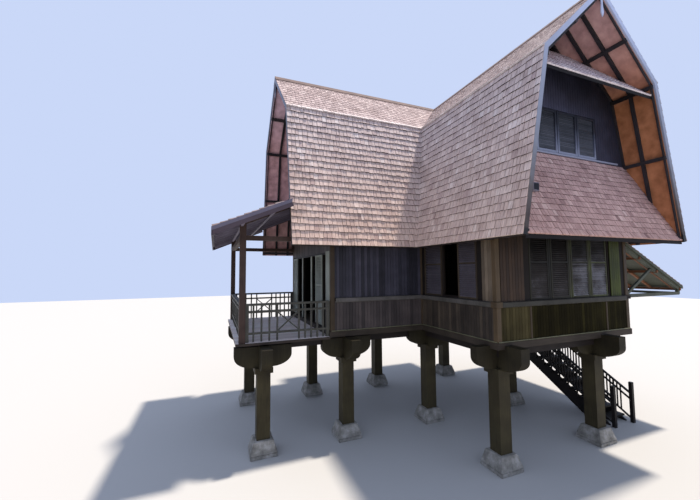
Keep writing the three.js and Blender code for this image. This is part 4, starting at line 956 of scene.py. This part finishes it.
def shutters():
    v0, v1 = LEAF_FOOT, WINDOW_TOP - 0.03
    # Tones per leaf are painted reflections: the two right leaves paler and greener
    band(
        "front_louvres", FRONT_FACE, FRONT_LEAVES, v0, v1, material=FRONT_JOINERY,
        slat_material=FRONT_LOUVRES, slat_reflection=(0.3, 0.25, 0.65, 0.7), frame_reflection=(-0.3, -0.1, 0.5, 0.8),
    )
    mullions = [
        FRONT_FACE.block(a[1] + MULLION_GAP, b[0] - MULLION_GAP, v0, v1, -0.03, 0.004)
        for a, b in zip(FRONT_LEAVES, FRONT_LEAVES[1:])
    ]
    # The mullions' tones are painted reflections as well
    blocks("front_mullions", mullions, FRONT_JOINERY, ease=EASE, tones=[-0.2, 0.5, 0.7])
    band("back_louvres", BACK_FACE, [(WIDTH - b, WIDTH - a) for a, b in reversed(FRONT_LEAVES)], v0, v1)
    band("left_louvres", LEFT_FACE, LEFT_LEAVES, v0, v1, skip=(OPEN_LEAF,))
    band("right_louvres", RIGHT_FACE, RIGHT_LEAVES, v0, LOW_TOP - 0.03)


GABLE_STILE = 0.055
GABLE_SLATS = 22
GABLE_SLAT = 0.03
GABLE_LEDGE_END = 0.42


def gable_windows():
    """Frames, panes and slats of the three lights in each gable."""
    gables = (("front", FRONT_FACE, GABLE_BAND[0]), ("back", BACK_FACE, WIDTH - GABLE_BAND[1]))
    for name, face, left in gables:
        third = (GABLE_BAND[1] - GABLE_BAND[0]) / 3
        frames, panes = [], []
        low, high = JETTY - 0.03, JETTY + 0.012
        foot, head = GABLE_SILL + 0.01, GABLE_HEAD - 0.01
        for i in range(3):
            a, b = left + i * third + 0.012, left + (i + 1) * third - 0.012
            for s0, s1 in ((a, a + GABLE_STILE), (b - GABLE_STILE, b)):
                frames.append(face.block(s0, s1, foot, head, low, high))
            for s0, s1 in ((foot, GABLE_SILL + 0.07), (GABLE_HEAD - 0.065, head)):
                frames.append(face.block(a + GABLE_STILE, b - GABLE_STILE, s0, s1, low, high - 0.002))
            pane = (a + 0.05, b - 0.05, GABLE_SILL + 0.06, GABLE_HEAD - 0.06)
            panes.append(face.block(*pane, low, low + 0.008))
            for n in range(GABLE_SLATS):
                v = GABLE_SILL + 0.09 + n * (GABLE_HEAD - GABLE_SILL - 0.17) / GABLE_SLATS
                slat = (a + 0.052, b - 0.052, v, v + GABLE_SLAT, low + 0.006, low + 0.02)
                panes.append(face.block(*slat, w_top=low + 0.01))
        ends = (GABLE_LEDGE_END, WIDTH - GABLE_LEDGE_END)
        frames.append(face.block(*ends, GABLE_SILL - 0.05, GABLE_SILL - 0.012, JETTY, JETTY + 0.045))
        blocks(f"{name}_gable_window_frames", frames, WINDOW_PAINT, ease=EASE)
        blocks(f"{name}_gable_window_panes", panes, WINDOW_SLATS)


DOOR_LEAVES = [(DEPTH - 7.42, DEPTH - 6.80), (DEPTH - 4.36, DEPTH - 3.71)]
DOOR_POSTS = (1.53, 2.70)
DOOR_RAIL = 0.10


def doors():
    """Louvres and posts of the folding doors, and rails on the entry door."""
    outer = Plane((WING_END + 0.02, DEPTH, 0), (0, -1, 0), (0, 0, 1))
    v0, v1 = FLOOR + 0.06, DOOR_TOP - 0.05
    band(
        "folding_door_louvres", outer, DOOR_LEAVES, v0, v1, 0.004,
        material=DOOR_PAINT, slat_material=DOOR_PAINT,
    )
    posts = [outer.block(u - 0.05, u + 0.05, FLOOR + 0.01, v1, 0.0, 0.03) for u in DOOR_POSTS]
    posts.append(outer.block(4.29, 4.62, FLOOR + 0.03, DOOR_TOP + 0.02, 0.02, 0.05))
    blocks("folding_door_posts", posts, DOOR_PAINT, ease=0.006)
    low, high = v0, DOOR_TOP - 0.06
    left, right = ENTRY[0] + 0.05, ENTRY[1] - 0.05
    heights = (low, FLOOR + 1.0, high - DOOR_RAIL)
    rails = [RIGHT_FACE.block(left, right, v, v + DOOR_RAIL, -0.03, -0.005) for v in heights]
    stiles = (left, right - DOOR_RAIL)
    rails += [RIGHT_FACE.block(u, u + DOOR_RAIL, low, high, -0.03, -0.004) for u in stiles]
    blocks("entry_door_rails", rails, JOINERY, ease=EASE)


# Veranda roof: its eave [x, z], its slope, its two ends, and where it stands clear of the wing's own roof
VERANDA_EAVE = (-5.9, 5.5)
VERANDA_SLOPE = 0.42
VERANDA_SIDES = (2.35, 8.13)
VERANDA_CLEAR = -4.065
VERANDA_INNER = (3.01, 7.47)
VERANDA_RUN = 3.0
VERANDA_DEPTH = 0.092
VERANDA_RAFTERS_COUNT = 9
VERANDA_PURLINS = (-5.2, -4.5)
FASCIA_DEPTH = 0.10


def veranda_roof():
    eave_x, eave_z = VERANDA_EAVE
    near, far = VERANDA_SIDES
    stretch = math.hypot(1, VERANDA_SLOPE)
    plane = Plane((eave_x, 0, eave_z), (0, 1, 0), (1, 0, VERANDA_SLOPE))
    clear = (VERANDA_CLEAR - eave_x - 0.02) * stretch
    ends = lambda v: (near + 0.002, far - 0.002) if v < clear else VERANDA_INNER
    rows = shingle_rows(plane, VERANDA_RUN * stretch, LEAN_TO_COURSES, ends, LEAN_TO_START)
    blocks("shingles_veranda", rows[0], SHINGLES, tones=rows[1], butts=rows[2])


# Stair lean-to: the foot of its slope [x, z], and its run, rise and length along Y
CANOPY_FOOT = (7.43, 3.93)
CANOPY_RUN = 2.75
CANOPY_RISE = 1.32
CANOPY_LENGTH = 6.7
CANOPY_HEAD = (4.68, 5.25)
CANOPY_RAFTERS_COUNT = 12
CANOPY_RAFTER_ENDS = ((4.70, 5.167), (7.36, 3.890))
CANOPY_PURLINS = (5.4, 6.2, 7.34)


def canopy_roof():
    plane = Plane((CANOPY_FOOT[0], 0, CANOPY_FOOT[1]), (0, 1, 0), (-CANOPY_RUN, 0, CANOPY_RISE))
    length = math.hypot(CANOPY_RUN, CANOPY_RISE) - 0.01
    rows = shingle_rows(plane, length, LEAN_TO_COURSES, lambda v: (0.0, CANOPY_LENGTH), LEAN_TO_START)
    blocks("shingles_canopy", rows[0], PAINTED_SHADE_SHINGLES, tones=rows[1], butts=rows[2])


def veranda_timbers():
    """Rafters, purlins and fascias under the veranda roof."""
    eave_x, eave_z = VERANDA_EAVE
    near, far = VERANDA_SIDES
    under = lambda x: eave_z - VERANDA_DEPTH + (x - eave_x) * VERANDA_SLOPE
    corners = []
    for i in range(VERANDA_RAFTERS_COUNT):
        y = near + 0.12 + i * (far - near - 0.24) / (VERANDA_RAFTERS_COUNT - 1)
        stop = -2.96 if 2.95 < y < 7.55 else VERANDA_CLEAR - 0.06
        corners.append(beam((-5.84, y, under(-5.84)), (stop, y, under(stop)), (0, 1, 0), 0.06, 0.07))
    for x in VERANDA_PURLINS:
        corners.append(box(x - 0.03, x + 0.03, near + 0.01, far - 0.01, under(x) - 0.10, under(x) - 0.012))
    blocks("veranda_rafters", corners, VERANDA_RAFTERS)
    outer = eave_x + 0.001
    fascia = []
    for y in (near + 0.012, far - 0.012):
        ends = ((outer, y, under(eave_x)), (VERANDA_CLEAR, y, under(VERANDA_CLEAR)))
        fascia.append(beam(*ends, (0, 1, 0), 0.022, FASCIA_DEPTH))
    top = under(eave_x)
    fascia.append(box(outer, eave_x + 0.025, near + 0.001, far - 0.001, top - FASCIA_DEPTH, top))
    blocks("veranda_fascias", fascia, FASCIA)


def canopy_timbers():
    """Rafters and purlins under the stair's lean-to."""
    corners = []
    (high_x, high_z), (low_x, low_z) = CANOPY_RAFTER_ENDS
    for i in range(CANOPY_RAFTERS_COUNT):
        y = 0.20 + i * 6.3 / (CANOPY_RAFTERS_COUNT - 1)
        corners.append(beam((high_x, y, high_z), (low_x, y, low_z), (0, 1, 0), 0.05, 0.06))
    for x in CANOPY_PURLINS:
        z = CANOPY_HEAD[1] - 0.075 - (x - CANOPY_HEAD[0]) * CANOPY_RISE / CANOPY_RUN
        corners.append(box(x - 0.025, x + 0.025, 0.02, 6.68, z - 0.09, z - 0.015))
    blocks("canopy_rafters", corners, CANOPY_RAFTERS)


def lean_tos():
    veranda_roof()
    canopy_roof()
    veranda_timbers()
    canopy_timbers()


DECK_COUNT = 46
DECK_ENDS = (-5.318, -2.935)
DECK_GAP = 0.003
DECK_THICKNESS = 0.008


def decks():
    corners = []
    step = (DEPTH - FRONT) / DECK_COUNT
    for i in range(DECK_COUNT):
        y = FRONT + i * step
        corners.append(box(*DECK_ENDS, y + DECK_GAP, y + step - DECK_GAP, DECK, DECK + DECK_THICKNESS))
    blocks("deck_boards", corners, DECK_BOARDS)


STAIR_SIDES = (4.76, 5.60)
STAIR_FOOT_Y = 0.75
STAIR_RISERS = 16
GOING = 0.28
BALUSTER_HALF = 0.015
BALUSTER_SPAN = (0.20, 0.93)


def stair_balusters():
    """Two thin balusters between each pair of the stair's sturdier ones."""
    corners = []
    half = BALUSTER_HALF
    for i in range(3 * (STAIR_RISERS - 1)):
        if i % 3 == 0:
            continue
        y = STAIR_FOOT_Y + i * GOING / 3
        z = i / 3 * FLOOR / STAIR_RISERS
        low, high = (z + height for height in BALUSTER_SPAN)
        corners += [box(x - half, x + half, y - half, y + half, low, high) for x in STAIR_SIDES]
    blocks("stair_balusters", corners, STAIR)


# Stone plinths: a low square foot and a block that narrows to its top, both chipped
PLINTH = 0.64
PLINTH_FOOT = 0.09
PLINTH_BLOCK = (0.233, 0.288)
PLINTH_TOP = 0.47
CHIP = 0.0022


def plinth_box(bm, centre, middle, height):
    """Adds a square block of a plinth's width and returns its points."""
    points = bmesh.ops.create_cube(bm, size=1.0)["verts"]
    place = Matrix.Translation((centre.x, centre.y, middle)) @ Matrix.Diagonal((PLINTH, PLINTH, height, 1))
    bmesh.ops.transform(bm, verts=points, matrix=place)
    return points


def plinths():
    for node in [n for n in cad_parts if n.startswith("plinth_")]:
        low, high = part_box(node)
        centre = (low + high) / 2
        bm = bmesh.new()
        plinth_box(bm, centre, PLINTH_FOOT / 2, PLINTH_FOOT)
        for v in plinth_box(bm, centre, *PLINTH_BLOCK):
            if v.co.z > PLINTH_BLOCK[0]:
                v.co.x = centre.x + (v.co.x - centre.x) * PLINTH_TOP / PLINTH
                v.co.y = centre.y + (v.co.y - centre.y) * PLINTH_TOP / PLINTH
        bmesh.ops.bevel(
            bm, geom=bm.edges[:], offset=0.014, segments=2, profile=0.5, affect="EDGES", material=-1
        )
        bmesh.ops.subdivide_edges(bm, edges=bm.edges[:], cuts=4, use_grid_fill=True)
        for v in bm.verts:
            if 0.01 < v.co.z < high.z - 0.01:
                v.co.x += rng.normal(0, CHIP)
                v.co.y += rng.normal(0, CHIP)
        bmesh.ops.recalc_face_normals(bm, faces=bm.faces[:])
        mesh = bpy.data.meshes.new(f"stone_{node}")
        bm.to_mesh(mesh)
        bm.free()
        stone = piece(f"stone_{node}", mesh, STONE)
        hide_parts(node)


# Materials of the CAD nodes, by words in their names. The first that fits is taken.
CAD_LOOKS = {
    "post_bent": POSTS, "floor_frame": FRAME_TIMBER, "main_floor": SKIRT, "attic_floor": FLOOR_BOARDS,
    "veranda_deck": FLOOR_BOARDS, "entry_landing": STAIR, "_wall": WALL_BACK, "_shutters": JOINERY_CAD,
    "_gable_windows": JOINERY_CAD, "_door": JOINERY_CAD, "roof_wing": WING_SOFFIT, "roof_": SOFFIT,
    "_apron": SHADOW_TIMBER, "_hood": SHADOW_TIMBER, "bargeboards_wing": WING_PAINT, "bargeboards": PAINT,
    "ridge_cap": RIDGE_BOARDS, "veranda_frame": VERANDA_TIMBER, "veranda_roof": VERANDA_LINING,
    "veranda_railing": RAILS, "stair_": STAIR, "canopy_": CANOPY_TIMBER, "plinth_": STONE,
}


def dress_cad_nodes():
    for name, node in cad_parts.items():
        look = next(m for key, m in CAD_LOOKS.items() if key in name)
        node.data.materials.clear()
        node.data.materials.append(look)


# The photograph's camera: its place, the lens on a 36 mm wide picture, and the way it looks
CAMERA_PLACE = (-6.5772, -9.5359, 4.4575)
LENS = 17.263
PICTURE = 36.0
CAMERA_RIGHT = Vector((0.92766, -0.37341, -0.00808))
CAMERA_UP = Vector((-0.01655, -0.06272, 0.99790))
CAMERA_FORWARD = Vector((0.37312, 0.92555, 0.06436))

# A high sun from the right, and an even blue sky
SUN_TOWARDS = Vector((0.386, 0.01, 1.0))
SUN_STRENGTH = 5.6
SUN_WIDTH = 3
SKY_STRENGTH = 1.0
FLOOR_SIZE = 60.0


def camera():
    data = bpy.data.cameras.new("camera")
    data.sensor_width = PICTURE
    data.lens = LENS
    made = bpy.data.objects.new("camera", data)
    turn = Matrix((CAMERA_RIGHT, CAMERA_UP, -CAMERA_FORWARD)).transposed().to_4x4()
    made.matrix_world = Matrix.Translation(CAMERA_PLACE) @ turn
    bpy.context.scene.collection.objects.link(made)
    bpy.context.scene.camera = made


def studio():
    bm = bmesh.new()
    bmesh.ops.create_grid(bm, x_segments=1, y_segments=1, size=FLOOR_SIZE)
    mesh = bpy.data.meshes.new("floor")
    bm.to_mesh(mesh)
    bm.free()
    floor = bpy.data.objects.new("floor", mesh)
    mesh.materials.append(pale_floor("pale_floor"))
    bpy.context.scene.collection.objects.link(floor)
    key = bpy.data.lights.new("key", "SUN")
    key.energy = SUN_STRENGTH
    key.angle = math.radians(SUN_WIDTH)
    key.color = srgb("#fff4e6")[:3]
    lamp = bpy.data.objects.new("key", key)
    lamp.rotation_euler = SUN_TOWARDS.to_track_quat("Z", "Y").to_euler()
    bpy.context.scene.collection.objects.link(lamp)
    world = bpy.data.worlds.new("soft_fill")
    bpy.context.scene.world = world
    world.use_nodes = True
    background = world.node_tree.nodes["Background"]
    background.inputs["Color"].default_value = srgb("#cad8f8")
    background.inputs["Strength"].default_value = SKY_STRENGTH
    bpy.context.scene.view_settings.view_transform = "Standard"


dress_cad_nodes()
roofs()
gable_ends()
apron_lamp()
soffit_rafters()
walls()
trims()
shutters()
gable_windows()
doors()
lean_tos()
decks()
stair_balusters()
plinths()
camera()
studio()
